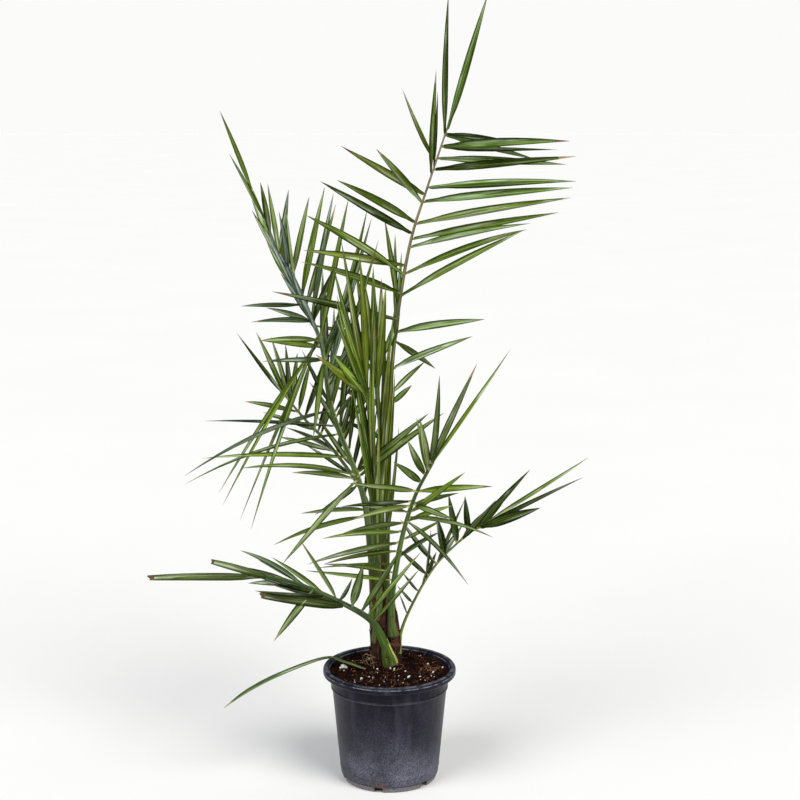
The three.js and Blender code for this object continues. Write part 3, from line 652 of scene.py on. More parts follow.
def chance(i):
    """A repeatable number from 0 to 1 for the whole number i."""
    x = math.sin(i * 12.9898 + 4.1414) * 43758.5453
    return x - math.floor(x)


def smooth(points, n):
    """Even samples of a smooth curve through the given points."""
    p = np.array(points, float)
    m = len(p) - 1
    q = np.vstack([2 * p[0] - p[1], p, 2 * p[m] - p[m - 1]])
    out = []
    for k in range(n + 1):
        u = k / n * m
        i = min(int(u), m - 1)
        f = u - i
        s = [
            0.5 * (-f + 2 * f * f - f**3),
            0.5 * (2 - 5 * f * f + 3 * f**3),
            0.5 * (f + 4 * f * f - 3 * f**3),
            0.5 * (-f * f + f**3),
        ]
        out.append(sum(s[j] * q[i + j] for j in range(4)))
    return np.array(out)


def along(line, t):
    """The point at a share t of the way along a line of points."""
    steps = np.linalg.norm(np.diff(line, axis=0), axis=1)
    left = steps.sum() * t
    for i, step in enumerate(steps):
        if left <= step or i == len(steps) - 1:
            return line[i] + (line[i + 1] - line[i]) * min(1, left / step)
        left -= step


def heading(front, depth):
    """The way a leaflet points, from its angle in the front view and its angle in depth."""
    f = math.radians(front)
    d = math.radians(depth)
    return np.array([math.cos(d) * math.cos(f), math.sin(d), math.cos(d) * math.sin(f)])


def leaf_point(leaf, u):
    """The point of a leaflet's middle line at a share u of its length."""
    down = np.array([0, 0, -leaf["sag"] * leaf["length"] * u * u])
    return leaf["base"] + leaf["way"] * leaf["length"] * u + down


def clearance(a, b, c, d):
    """Least distances between one straight piece a-b and many pieces c-d."""
    u = b - a
    v = d - c
    w = a - c
    uu = u @ u
    uv = v @ u
    vv = (v * v).sum(1)
    uw = w @ u
    vw = (v * w).sum(1)
    den = uu * vv - uv * uv
    s = np.where(den > 1e-9, np.clip((uv * vw - vv * uw) / np.where(den > 1e-9, den, 1), 0, 1), 0)
    t = np.clip((uv * s + vw) / vv, 0, 1)
    s = np.clip((uv * t - uw) / uu, 0, 1)
    return np.linalg.norm(w + u * s[:, None] - v * t[:, None], axis=1)


LEAF_ROOM = 0.4
SHAKE = 4
CHECKED = (0.04, 0.25, 0.5, 0.75, 1)


def place_leaves():
    """The midribs' lines, and each frond's leaflets, turned where they would touch another frond."""
    lines = {name: smooth(f["midrib"], len(f["midrib"]) * 3 - 3) for name, f in FRONDS.items()}
    owner, starts, ends, halves = [], [], [], []
    for name, line in lines.items():
        low, high, _ = FRONDS[name]["radius"]
        for i in range(len(line) - 1):
            owner.append(name)
            starts.append(line[i])
            ends.append(line[i + 1])
            halves.append(mix(low, high, i / (len(line) - 1)))
    leaves = {}
    number = 0
    for name, frond in FRONDS.items():
        leaves[name] = []
        for row in frond["runs"]:
            t0, t1, count, f0, f1, d0, d1, l0, l1, sag, width, blunt = full_row(row)
            other = np.array([o != name for o in owner])
            c = np.array(starts)[other]
            d = np.array(ends)[other]
            room = np.array(halves)[other] + width / 2 + LEAF_ROOM
            fresh = []
            for i in range(count):
                number += 1
                u = i / (count - 1) if count > 1 else 0
                shake = (chance(number) - 0.5) * SHAKE if count > 1 else 0
                leaf = {
                    "number": number,
                    "base": along(lines[name], mix(t0, t1, u)),
                    "share": mix(t0, t1, u),
                    "length": mix(l0, l1, u),
                    "sag": sag,
                    "width": width,
                    "blunt": blunt,
                    "along_rib": 108 < f0 < 121,
                    "left_side": 100 < f0 < 200,
                    "roll": math.radians((chance(number + 500) - 0.5) * (70 if width < 15 else 20)),
                }
                for depth, turn in [(a, b) for a in DEPTH_NUDGES for b in FRONT_NUDGES]:
                    leaf["way"] = heading(mix(f0, f1, u) + shake + turn, mix(d0, d1, u) + depth)
                    own = [leaf_point(leaf, s) for s in CHECKED]
                    if all((clearance(own[k], own[k + 1], c, d) >= room).all() for k in range(4)):
                        fresh.append((leaf, own))
                        break
            for leaf, own in fresh:
                leaves[name].append(leaf)
                for k in range(4):
                    owner.append(name)
                    starts.append(own[k])
                    ends.append(own[k + 1])
                    halves.append(width / 2)
    return lines, leaves


# For each frond: how many of its blade finishes of each kind go round, the finish of its leaflets'
# joints, and the share of its leaflets that end in a dry tip.
DRESS = {
    "frond_tall_right": ("fresh_green 6 deep_green 3 green 2 bright_green 1", "tan", 0.35),
    "frond_tall_left": ("green 4 deep_green 2 blue_green 3 silver_green 1 bright_green 2", "yellow", 0.4),
    "frond_back_left": ("deep_green 4 green 3 dusky_green 3", "yellow", 0.3),
    "frond_young": ("young_green 4 bright_green 3 green 3", "green", 0.2),
    "frond_spear": ("young_green 5 bright_green 2 green 3", "green", 0.3),
    "frond_mid_right": ("grey_green 3 green 2 deep_green 2 bright_green 3 pale_green 2", "yellow", 0.75),
    "frond_low_right": ("deep_green 7 green 2 dusky_green 4", "yellow", 0.3),
    "frond_low_left": ("dusky_green 4 blue_green 4 grey_green 3", "green", 0.5),
}
FRONT_BLADES = ["leaf_bright_green", "leaf_green"]
SHADED_BLADES = ["leaf_green", "leaf_deep_green", "leaf_young_green", "leaf_green"]

# Along a blade: share of its length, half width share, fold angle in degrees.
POINTED = [
    (0.11, 0.50, 52),
    (0.18, 0.76, 48),
    (0.27, 0.95, 45),
    (0.37, 1.00, 43),
    (0.48, 0.97, 41),
    (0.59, 0.87, 39),
    (0.70, 0.71, 37),
    (0.80, 0.52, 34),
    (0.885, 0.33, 30),
    (0.95, 0.17, 24),
    (1.0, 0.03, 12),
]
BLUNT = [
    (0.11, 0.50, 50),
    (0.20, 0.80, 44),
    (0.32, 0.98, 40),
    (0.46, 1.00, 37),
    (0.60, 0.97, 34),
    (0.74, 0.90, 30),
    (0.87, 0.80, 26),
    (0.95, 0.72, 22),
    (1.0, 0.64, 20),
]
AROUND = 8
# Over the upper face from edge to edge, then back under it: across, fold share, thickness share.
SECTION = [
    (-1.0, 1.0, 0.0),
    (-0.52, 0.47, 0.0),
    (0.0, 0.0, 0.0),
    (0.52, 0.47, 0.0),
    (1.0, 1.0, 0.0),
    (0.52, 0.47, -0.8),
    (0.0, 0.0, -1.5),
    (-0.52, 0.47, -0.8),
]
UPPER = (0, 1, 2, 3)


def blade(heap, leaf, rib_radius, finish, joint, tip, tip_from):
    """One leaflet: a small swollen joint on the midrib, then a folded blade with a keel."""
    number = leaf["number"]
    length = leaf["length"]
    half = leaf["width"] / 2
    stations = BLUNT if leaf["blunt"] else POINTED
    knob = min(0.34 * half, 1.9) + (0.5 if joint == "leaf_joint_yellow" else 0)
    foot = [
        (0.0, 0.8 * knob / half, 20),
        (rib_radius * 0.75 / length, knob / half, 20),
        ((rib_radius + 2.2) / length, knob / half, 25),
        ((rib_radius + 4.6) / length, max(0.4, 0.9 * knob / half), 56),
    ]
    bow = (chance(number + 211) - 0.5) * 0.018
    wave = (chance(number + 307) - 0.5) * 0.026
    lean = mix(0.9, 1.14, chance(number + 523))
    later = [(u**lean, wide, fold) for u, wide, fold in stations]
    shape = foot + [s for s in later if s[0] > foot[-1][0] + 0.02]
    twist = math.radians((chance(number + 401) - 0.5) * 56)
    under = chance(number + 640) < 0.26
    points = []
    uv = []
    for k, (u, wide, fold) in enumerate(shape):
        way = unit(leaf["way"] * length + np.array([0, 0, -2 * leaf["sag"] * length * u]))
        flat = unit(np.cross(way, FRONT))
        face = np.cross(flat, way)
        roll = leaf["roll"] + twist * u
        across = turn_about(flat, way, roll)
        out = turn_about(face, way, roll)
        middle = leaf_point(leaf, u)
        middle = middle + across * bow * length * 4 * u * (1 - u)
        middle = middle + out * wave * length * 4 * u * (1 - u)
        if under:
            out = -out
        h = half * wide
        swell = k < 3
        thick = max(0.12, 0.34 * min(1, wide + 0.1)) if not swell else knob
        lift = math.tan(math.radians(fold)) * h
        for a, f, t in SECTION:
            p = middle + across * a * h + out * (f * lift - lift * 0.35 + t * thick)
            if leaf["blunt"] and k == len(shape) - 1:
                p = p + way * (a * 2.2 + math.sin(a * 9 + number) * 1.6)
            points.append(p)
            uv.append((u * length * MM + number * 0.37, (a + 1) / 2))
    names = []
    for k in range(len(shape) - 1):
        for i in range(AROUND):
            if k < 2 or (k == 2 and joint == "leaf_joint_yellow" and half > 4):
                names.append(joint)
            elif shape[k + 1][0] > tip_from and shape[k][0] >= tip_from - 0.09:
                names.append(tip)
            else:
                names.append(finish if (i in UPPER) != under else "leaf_underside")
    names += [joint, tip if tip_from < 1 else finish]
    heap.put(np.array(points) * MM, ring_faces(len(shape), AROUND), names, uv)


# The share of its length from which a leaflet has its tip's finish: never, or only at a cut end.
NO_TIP = 2.0
CUT_TIP = 0.993


def leaflets(name, leaves):
    """All leaflets of a frond, their tints dealt out one leaf at a time."""
    palette, joint, dry = DRESS[name]
    joint = "leaf_joint_" + joint
    words = palette.split()
    deck = ["leaf_" + kind for kind, count in zip(words[::2], words[1::2]) for _ in range(int(count))]
    kinds = list(dict.fromkeys(deck + FRONT_BLADES + SHADED_BLADES + ["leaf_silver_green"]))
    heap = Heap(kinds + ["leaf_underside", joint, "leaf_tip_brown", "leaf_tip_tan"])
    low, high, taper = FRONDS[name]["radius"]
    for leaf in leaves:
        number = leaf["number"]
        finish = deck[int(chance(number + 77) * len(deck))]
        if name == "frond_tall_left" and leaf["along_rib"] and leaf["share"] < 0.8:
            finish = "leaf_silver_green"
        if name == "frond_tall_left" and leaf["share"] < 0.3:
            finish = "leaf_green"
        if name == "frond_tall_right" and leaf["left_side"]:
            finish = SHADED_BLADES[number % len(SHADED_BLADES)]
        if name == "frond_low_left" and leaf["share"] < 0.4:
            finish = FRONT_BLADES[number % len(FRONT_BLADES)]
        tip = "leaf_tip_brown" if chance(number + 88) < 0.6 else "leaf_tip_tan"
        has_tip = chance(number + 99) < dry
        tip_from = mix(0.9, 0.965, chance(number + 111)) if has_tip else NO_TIP
        if leaf["blunt"]:
            tip_from = CUT_TIP
        rib = mix(low, high, leaf["share"] ** taper)
        blade(heap, leaf, rib, finish, joint, tip, tip_from)
    item = heap.make(name + "_leaflets")
    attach(item, "root")
    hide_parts(name)


def midrib_finish(name, low, high, start, end, light, edges=None, rough=0.42, shadow=0.7, top_light=None):
    """A petiole and midrib: its tint changes up its height, with lines along it, and its left and right
    edges tinted as painted shade on one side and painted highlight on the other.
    """
    f = Finish(name, rough, 0.34)
    level = f.sum("MULTIPLY_ADD", f.axis(f.place(), "Z"), 1 / (end - start))
    level.node.inputs[2].default_value = -start / (end - start)
    base = f.ramp(level, [(0.0, low), (1.0, high)])
    lines = f.noise(f.place((3, 1.3, 1), "UV"), 3.0, 4.0, 0.62)
    cloud = f.noise(f.place((1, 1, 0.35)), 42.0, 4.0)
    base = f.mix(f.ramp(lines, [(0.38, 0.8), (0.48, 0.0)]), base, shade(low, 0.3))
    pale = f.ramp(level, [(0.3, light), (0.7, top_light or light)])
    base = f.mix(f.ramp(lines, [(0.525, 0.0), (0.62, 0.8)]), base, pale)
    dark = f.ramp(cloud, [(0.30, shadow), (0.5, 0.0)])
    base = f.mix(dark, base, shade(low, 0.35))
    # painted shade on one side of the stalk and a painted highlight on the other: the left and right edge
    # tints
    if edges:
        around = f.axis(f.place((1, 1 / 3, 1), "UV"), "Y")
        left, right, reach = edges
        near_left = [(0.0, 0.95), (reach * 0.7, 0.85), (reach, 0.0), (0.9, 0.0), (1.0, 0.95)]
        base = f.mix(f.ramp(around, near_left), base, left)
        base = f.mix(f.ramp(around, [(0.31, 0.0), (0.37, 0.8), (0.5, 0.9), (0.6, 0.0)]), base, right)
    f.colour(base)
    f.roughness(f.ramp(cloud, [(0.3, rough - 0.1), (0.7, rough + 0.15)]))
    return f.bump(lines, 0.0009, 0.7).made


# Low tint, high tint, from and to this height, paler lines, and the tints of the left and right
# edges with how far round the left one comes: painted shade on one side and painted highlight on
# the other. Then, where they differ from the usual ones, its roughness, how dark its shadows are,
# and the paler lines high up.
# The painted shade on the shaded side of a stalk.
SHADED_SIDE_TINT = (0.018, 0.028, 0.005)
MIDRIBS = {
    "frond_tall_right": (
        (0.060, 0.100, 0.013), (0.27, 0.185, 0.085), 0.74, 0.92, (0.26, 0.30, 0.10),
        ((0.030, 0.030, 0.008), (0.072, 0.090, 0.020), 0.1),
    ),
    "frond_tall_left": (
        (0.075, 0.130, 0.018), (0.14, 0.22, 0.15), 0.64, 0.84, (0.26, 0.38, 0.15),
        ((0.020, 0.036, 0.007), (0.20, 0.28, 0.10), 0.13), 0.42, 0.7, (0.46, 0.56, 0.50),
    ),
    "frond_back_left": (
        (0.060, 0.095, 0.016), (0.085, 0.12, 0.035), 0.4, 0.6, (0.22, 0.27, 0.10),
        (SHADED_SIDE_TINT, (0.1, 0.14, 0.03), 0.13),
    ),
    "frond_young": (
        (0.085, 0.125, 0.013), (0.125, 0.17, 0.018), 0.4, 0.6, (0.34, 0.38, 0.10),
        (SHADED_SIDE_TINT, (0.18, 0.23, 0.04), 0.12),
    ),
    "frond_spear": (
        (0.070, 0.110, 0.012), (0.115, 0.155, 0.02), 0.4, 0.6, (0.32, 0.36, 0.10),
        (SHADED_SIDE_TINT, (0.095, 0.125, 0.014), 0.12), 0.42, 0.45,
    ),
    "frond_mid_right": (
        (0.050, 0.112, 0.009), (0.085, 0.125, 0.035), 0.32, 0.56, (0.17, 0.27, 0.05),
        (SHADED_SIDE_TINT, (0.10, 0.16, 0.02), 0.16),
    ),
    "frond_low_right": (
        (0.150, 0.190, 0.024), (0.10, 0.13, 0.04), 0.27, 0.38, (0.36, 0.42, 0.12),
        ((0.007, 0.008, 0.004), (0.40, 0.46, 0.10), 0.2),
    ),
    "frond_low_left": (
        (0.075, 0.165, 0.010), (0.045, 0.070, 0.022), 0.235, 0.285, (0.21, 0.30, 0.11),
        ((0.20, 0.27, 0.05), (0.050, 0.10, 0.012), 0.1),
    ),
}
RIB_SIDES = 14
ROUND = 0.8
# How flat a stalk is at its foot, and the share of its length over which it rounds out.
FLAT_FOOT = {"frond_low_left": (0.34, 0.3), "frond_mid_right": (0.55, 0.3), "frond_low_right": (0.6, 0.3)}


def midrib(name, line):
    """The stalk: broad and channelled where it leaves the stem, narrowing evenly upwards."""
    look = name.replace("frond", "midrib")
    looks[look] = midrib_finish(look, *MIDRIBS[name])
    heap = Heap([look, "leaf_edge_yellow", "leaf_tip_brown"])
    low, high, taper = FRONDS[name]["radius"]
    flat, flat_to = FLAT_FOOT.get(name, (ROUND, 1))
    fine = smooth(FRONDS[name]["midrib"], (len(line) - 1) * 4)
    ways = directions(fine)
    steps = np.concatenate([[0], np.cumsum(np.linalg.norm(np.diff(fine, axis=0), axis=1))])
    points = []
    uv = []
    n = len(fine)
    for k in range(n):
        u = k / (n - 1)
        way = ways[k]
        side = unit(np.cross(FRONT, way))
        face = np.cross(way, side)
        r = mix(low, high, u**taper)
        groove = 0.2 * max(0.0, 1 - u * 1.6)
        depth = mix(flat, ROUND, min(1, u / flat_to) ** 1.3)
        for i in range(RIB_SIDES):
            a = 2 * math.pi * i / RIB_SIDES
            cut = 1 - groove * math.exp(-(((a - math.pi / 2) / 0.5) ** 2))
            keel = 1 + 0.1 * math.exp(-(((a - 1.5 * math.pi) / 0.45) ** 2))
            p = fine[k] + r * (side * math.cos(a) + face * depth * math.sin(a) * cut * keel)
            if k == 0 and name == "frond_low_left":
                p = p + way * (2.2 * math.sin(a * 3 + 0.6) - 1.6 * math.cos(a))
            points.append(p)
            uv.append((steps[k] * MM, i / RIB_SIDES * 3))
    names = [look] * ((n - 1) * RIB_SIDES) + ["leaf_tip_brown", look]
    if name == "frond_low_left":
        for k in range(int(n * 0.42)):
            names[k * RIB_SIDES + RIB_SIDES // 2] = "leaf_edge_yellow"
            names[k * RIB_SIDES] = "leaf_tip_brown"
    heap.put(np.array(points) * MM, ring_faces(n, RIB_SIDES), names, uv)
    item = heap.make(name + "_midrib", 50)
    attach(item, "root")
    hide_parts(name)


rib_lines, rib_leaves = place_leaves()
for frond_name in FRONDS:
    leaflets(frond_name, rib_leaves[frond_name])
    midrib(frond_name, rib_lines[frond_name])


# ---- pot ------------------------------------------------------------------------------------
POT_SIDES = 144
NOTCHES = 6
FIRST_NOTCH = -103
NOTCH_SIZE = (0.026, 0.014, 0.010)


def pot_finish():
    f = Finish("pot_black_plastic", 0.33, 0.12)
    here = f.place()
    level = f.axis(here, "Z")
    cloud = f.noise(here, 17.0, 4.0, 0.6)
    fine = f.noise(here, 520.0, 2.0, 0.6)
    drag = f.noise(f.place((1, 1, 0.12)), 60.0, 3.0)
    rub = f.noise(f.place((0.35, 0.35, 3.2)), 90.0, 2.0, 0.5, 0.6)
    fading = [(0.0, 0.97), (0.03, 0.92), (0.06, 0.6), (0.09, 0.30), (0.12, 0.14), (0.17, 0.07)]
    low_dust = f.ramp(level, fading)
    patch = f.ramp(cloud, [(0.34, 0.35), (0.62, 1.0)])
    speck = f.ramp(fine, [(0.38, 0.3), (0.62, 1.0)])
    dust = f.sum("MULTIPLY", f.mix(1.0, patch, speck, "MULTIPLY"), low_dust)
    base = f.ramp(cloud, [(0.3, (0.0010, 0.0007, 0.0034)), (0.7, (0.0090, 0.0068, 0.0190))])
    base = f.mix(dust, base, (0.182, 0.184, 0.232))
    base = f.mix(f.ramp(drag, [(0.52, 0.0), (0.74, 0.3)]), base, (0.085, 0.082, 0.115))
    scratch = f.ramp(rub, [(0.665, 0.0), (0.68, 0.28), (0.695, 0.0)])
    base = f.mix(scratch, base, (0.12, 0.125, 0.16))
    # painted highlight: a thin pale glint line round the outer lip and along the top edge of the rim, broken
    # up by noise
    bright = [(0.0048, 0.0), (0.0038, 0.75), (0.0028, 0.0), (0.0013, 0.0), (0.0002, 0.25)]
    rim = f.band(level, [(POT_HEIGHT - below, v) for below, v in bright])
    glint_breaks = f.ramp(f.noise(here, 75.0, 5.0, 0.66), [(0.44, 0.04), (0.56, 1.0)])
    base = f.mix(f.sum("MULTIPLY", rim, glint_breaks), base, (0.34, 0.36, 0.44))
    seam = f.band(level, [(BAND_LOW - 0.0022, 0.0), (BAND_LOW - 0.0008, 0.6), (BAND_LOW + 0.0006, 0.0)])
    base = f.mix(f.sum("MULTIPLY", seam, speck), base, (0.13, 0.13, 0.17))
    lip = f.band(level, [(LIP_LOW - 0.0006, 0.0), (LIP_LOW + 0.0008, 0.5), (LIP_LOW + 0.0022, 0.0)])
    base = f.mix(f.sum("MULTIPLY", lip, speck), base, (0.12, 0.13, 0.17))
    foot = f.band(level, [(0.0, 0.9), (0.0085, 0.7), (0.0100, 0.0)])
    base = f.mix(f.sum("MULTIPLY", foot, speck), base, (0.27, 0.245, 0.25))
    # painted shade: dark lines along the two steps near the foot, where shade falls in them
    step = [(0.0090, 0.0), (0.0100, 0.8), (0.0112, 0.0), (0.0196, 0.0), (0.0204, 0.5), (0.0212, 0.0)]
    groove = f.band(level, step)
    base = f.mix(groove, base, (0.012, 0.010, 0.014))
    stain = f.near((-0.018, -0.079, 0.006), 0.016)
    stain = f.sum("MULTIPLY", stain, f.ramp(fine, [(0.40, 0.1), (0.56, 1.0)]))
    base = f.mix(stain, base, (0.20, 0.105, 0.07))
    f.colour(base)
    f.roughness(f.mix(dust, f.ramp(cloud, [(0.3, 0.25), (0.7, 0.38)]), (0.8, 0.8, 0.8)))
    return f.bump(f.mix(0.35, fine, rub), 0.00035, 0.5).made


def pot_profile():
    """Radius and height up the outside, over the rim and down the inside."""
    top = POT_HEIGHT
    return [
        (FOOT_RADIUS, 0.0016),
        (FOOT_RADIUS + 0.0006, 0.008),
        (FOOT_RADIUS + 0.003, 0.0095),
        (FOOT_RADIUS + 0.0043, 0.0205),
        (FOOT_RADIUS + 0.0049, 0.0212),
        (FOOT_RADIUS + 0.0050, 0.0222),
        (FOOT_RADIUS + 0.0046, 0.0232),
        (NECK_RADIUS, BAND_LOW - 0.003),
        (NECK_RADIUS + 0.0021, BAND_LOW - 0.002),
        (NECK_RADIUS + 0.0021, BAND_LOW + 0.0006),
        (NECK_RADIUS + 0.0012, BAND_LOW + 0.0018),
        (NECK_RADIUS + 0.0024, LIP_LOW),
        (RIM_RADIUS - 0.0026, LIP_LOW + 0.0008),
        (RIM_RADIUS - 0.0004, LIP_LOW + 0.0028),
        (RIM_RADIUS, LIP_LOW + 0.005),
        (RIM_RADIUS - 0.0002, top - 0.003),
        (RIM_RADIUS - 0.0016, top - 0.0006),
        (RIM_RADIUS - 0.004, top),
        (RIM_RADIUS - 0.008, top - 0.0006),
        (NECK_RADIUS + 0.004, top - 0.0045),
        (NECK_RADIUS + 0.0004, LIP_LOW),
        (NECK_RADIUS - WALL, BAND_LOW - 0.004),
        (FOOT_RADIUS + 0.003 - WALL, 0.0095),
        (FOOT_RADIUS - WALL, 0.003),
    ]


def cut_notches(pot):
    """Drainage notches through the foot, evenly round it."""
    cutters = []
    for i in range(NOTCHES):
        turn = math.radians(FIRST_NOTCH + 360 / NOTCHES * i)
        out = FOOT_RADIUS + 0.001
        place = (out * math.cos(turn), out * math.sin(turn), 0.003)
        bpy.ops.mesh.primitive_cube_add(size=1, location=place, rotation=(0, 0, turn), scale=NOTCH_SIZE)
        cutter = bpy.context.object
        settle(cutter)
        press(cutter, "BEVEL", width=0.0022, segments=3)
        cutters.append(cutter)
    for cutter in cutters:
        press(pot, "BOOLEAN", operation="DIFFERENCE", object=cutter, solver="EXACT")
        bpy.data.objects.remove(cutter)


def make_pot():
    looks["pot_black_plastic"] = pot_finish()
    clear_selection()
    r, z = FOOT_RADIUS - 0.0016, 0.0
    bpy.ops.mesh.primitive_circle_add(vertices=POT_SIDES, radius=r, fill_type="NGON", location=(0, 0, 0))
    pot = bpy.context.object
    pot.name = pot.data.name = "nursery_pot"
    bpy.ops.object.mode_set(mode="EDIT")
    for radius, height in pot_profile():
        lift = {"value": (0, 0, height - z)}
        bpy.ops.mesh.extrude_region_move(TRANSFORM_OT_translate=lift)
        scale = radius / r
        bpy.ops.transform.resize(value=(scale, scale, 1), center_override=(0, 0, height))
        r, z = radius, height
    bpy.ops.object.mode_set(mode="OBJECT")
    mend(pot)
    cut_notches(pot)
    press(pot, "BEVEL", width=0.0004, segments=2, limit_method="ANGLE", angle_limit=math.radians(32))
    settle(pot)
    mend(pot)
    pot.data.materials.clear()
    pot.data.materials.append(looks["pot_black_plastic"])
    soften(pot, 34)
    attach(pot, "root")
    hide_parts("pot")


make_pot()

# ---- soil -----------------------------------------------------------------------------------
SOIL_RADIUS = NECK_RADIUS + 0.0019
SOIL_RISE = [(0.0, SOIL_HIGH[2]), (0.030, SOIL_HIGH[2] - 0.0004), (0.048, SOIL_EDGE + 0.0036)]
SOIL_RISE += [(0.070, SOIL_EDGE + 0.002), (0.094, SOIL_EDGE), (0.2, SOIL_EDGE - 0.002)]


def soil_level(x, y):
    """The soil's height at a place, before its crumbs."""
    r = math.hypot(x, y)
    at = [p[0] for p in SOIL_RISE]
    rise = np.interp(r, at, [p[1] for p in SOIL_RISE])
    wave = math.sin(x * 140 + 1.0) * math.cos(y * 120) + 0.6 * math.sin(x * 260 - y * 210)
    return rise + wave * 0.0012 - 0.0014


def soil_finish():
    f = Finish("soil_dark", 0.95, 0.06)
    here = f.place()
    crumb = f.noise(here, 260.0, 5.0, 0.65)
    cloud = f.noise(here, 70.0, 3.0)
    browns = [(0.3, (0.0032, 0.0008, 0.001)), (0.55, (0.015, 0.0048, 0.0034)), (0.78, (0.075, 0.026, 0.013))]
    base = f.ramp(crumb, browns)
    f.colour(f.mix(f.ramp(cloud, [(0.35, 0.55), (0.6, 0.0)]), base, (0.009, 0.005, 0.0035)))
    f.roughness(f.ramp(crumb, [(0.3, 0.8), (0.7, 1.0)]))
    return f.bump(crumb, 0.0016, 1.0).made


def make_soil():
    looks["soil_dark"] = soil_finish()
    clear_selection()
    cells = 120
    bpy.ops.mesh.primitive_grid_add(x_subdivisions=cells, y_subdivisions=cells, size=2 * SOIL_RADIUS * 1.02)
    soil = bpy.context.object
    soil.name = soil.data.name = "potting_soil"
    mesh = soil.data
    bpy.ops.object.mode_set(mode="EDIT")
    bpy.ops.mesh.select_all(action="DESELECT")
    bpy.ops.object.mode_set(mode="OBJECT")
    for v in mesh.vertices:
        v.select = math.hypot(v.co.x, v.co.y) > SOIL_RADIUS
    bpy.ops.object.mode_set(mode="EDIT")
    bpy.ops.mesh.delete(type="VERT")
    bpy.ops.object.mode_set(mode="OBJECT")
    rough = dice.normal(size=len(mesh.vertices))
    for v in mesh.vertices:
        r = math.hypot(v.co.x, v.co.y)
        if r > SOIL_RADIUS - 0.0024:
            v.co.x *= SOIL_RADIUS / r
            v.co.y *= SOIL_RADIUS / r
        v.co.z = soil_level(v.co.x, v.co.y) + rough[v.index] * 0.0012
    bpy.ops.object.mode_set(mode="EDIT")
    bpy.ops.mesh.select_all(action="SELECT")
    bpy.ops.mesh.extrude_region_move(TRANSFORM_OT_translate={"value": (0, 0, -0.02)})
    bpy.ops.object.mode_set(mode="OBJECT")
    inward = (NECK_RADIUS - 0.001) / SOIL_RADIUS
    for v in mesh.vertices:
        if v.select:
            v.co = (v.co.x * inward, v.co.y * inward, SOIL_EDGE - 0.012)
    settle(soil)
    mend(soil)
    soil.data.materials.clear()
    soil.data.materials.append(looks["soil_dark"])
    soften(soil, 50)
    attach(soil, "root")
    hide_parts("soil")


STEM_ROOM = 0.027


def soil_spot(reach=0.0945):
    """A random place on the soil, within this reach of its middle and clear of the stem."""
    while True:
        x, y = dice.uniform(-reach, reach, 2)
        if math.hypot(x, y) < reach and math.hypot(x - TRUNK_X, y - TRUNK_Y) > STEM_ROOM:
            return x, y


CRUMBS = 2300
SMALL_GRAINS = 64
# The larger white grains: across, deep and radius.
GRAINS = [
    (-0.077, 0.002, 0.0056), (-0.0725, 0.0005, 0.0044), (-0.0815, 0.0, 0.003), (-0.045, -0.055, 0.0027),
    (0.001, -0.012, 0.0027), (0.008, -0.010, 0.002), (0.026, -0.026, 0.0024), (0.031, -0.046, 0.0028),
    (0.012, 0.020, 0.0022), (0.064, 0.016, 0.0024), (0.05, -0.045, 0.0024), (0.072, -0.02, 0.0022),
    (-0.02, -0.011, 0.002), (0.088, 0.004, 0.0022),
]


def make_crumbs():
    names = ["soil_crumb_dark", "soil_crumb_brown", "soil_chip_orange"]
    heap = Heap(names)
    for _ in range(CRUMBS):
        x, y = soil_spot()
        size = 0.0007 + 0.0034 * dice.random() ** 2.4
        finish = names[dice.choice(3, p=(0.70, 0.28, 0.02))]
        place = (x, y, soil_level(x, y) + size * 0.3)
        heap.put(lump(place, size, 0.8), LUMP_FACES, finish)
    crumbs = heap.make("soil_crumbs", 20)
    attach(crumbs, "root")
    white = Heap(["perlite_white"])
    spots = list(GRAINS)
    for _ in range(SMALL_GRAINS):
        x, y = soil_spot(0.088)
        spots.append((x, y, 0.0006 + 0.0011 * dice.random() ** 2))
    for x, y, size in spots:
        place = (x, y, soil_level(x, y) + size * 0.6 + 0.0008)
        white.put(lump(place, size), LUMP_FACES, "perlite_white")
    grains = white.make("perlite_grains", 20)
    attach(grains, "root")


def wander(start, way, length, steps, curl, drop=0.0):
    """A thin line that wanders off from its start."""
    line = [np.array(start, float)]
    way = unit(way)
    for _ in range(steps):
        way = unit(way + dice.normal(size=3) * curl + np.array([0, 0, -drop]))
        line.append(line[-1] + way * length / steps)
    return np.array(line)


def lie_on_soil(line, lift):
    """The line raised wherever it would sink in, this far above the soil."""
    for p in line:
        p[2] = max(p[2], soil_level(p[0], p[1]) + lift)
    return line


SHORT_THREADS = 250
ROOTS = 9
TUFT = 26


def over_soil(line):
    return np.array([p for p in line if math.hypot(p[0], p[1]) < SOIL_RADIUS - 0.001])


def scatter_threads(heap):
    """Short threads that lie all over the soil."""
    for _ in range(SHORT_THREADS):
        x, y = soil_spot(0.089)
        turn = dice.uniform(0, 2 * math.pi)
        way = (math.cos(turn), math.sin(turn), dice.uniform(-0.1, 0.35))
        start = (x, y, soil_level(x, y) + 0.001)
        inside = over_soil(wander(start, way, dice.uniform(0.004, 0.019), 5, 0.32, 0.08))
        if len(inside) < 4:
            continue
        thread = strand(lie_on_soil(inside, 0.0007), dice.uniform(0.0002, 0.0005), 3)
        heap.put(*thread, "fibre_orange" if dice.random() < 0.55 else "fibre_red_brown")


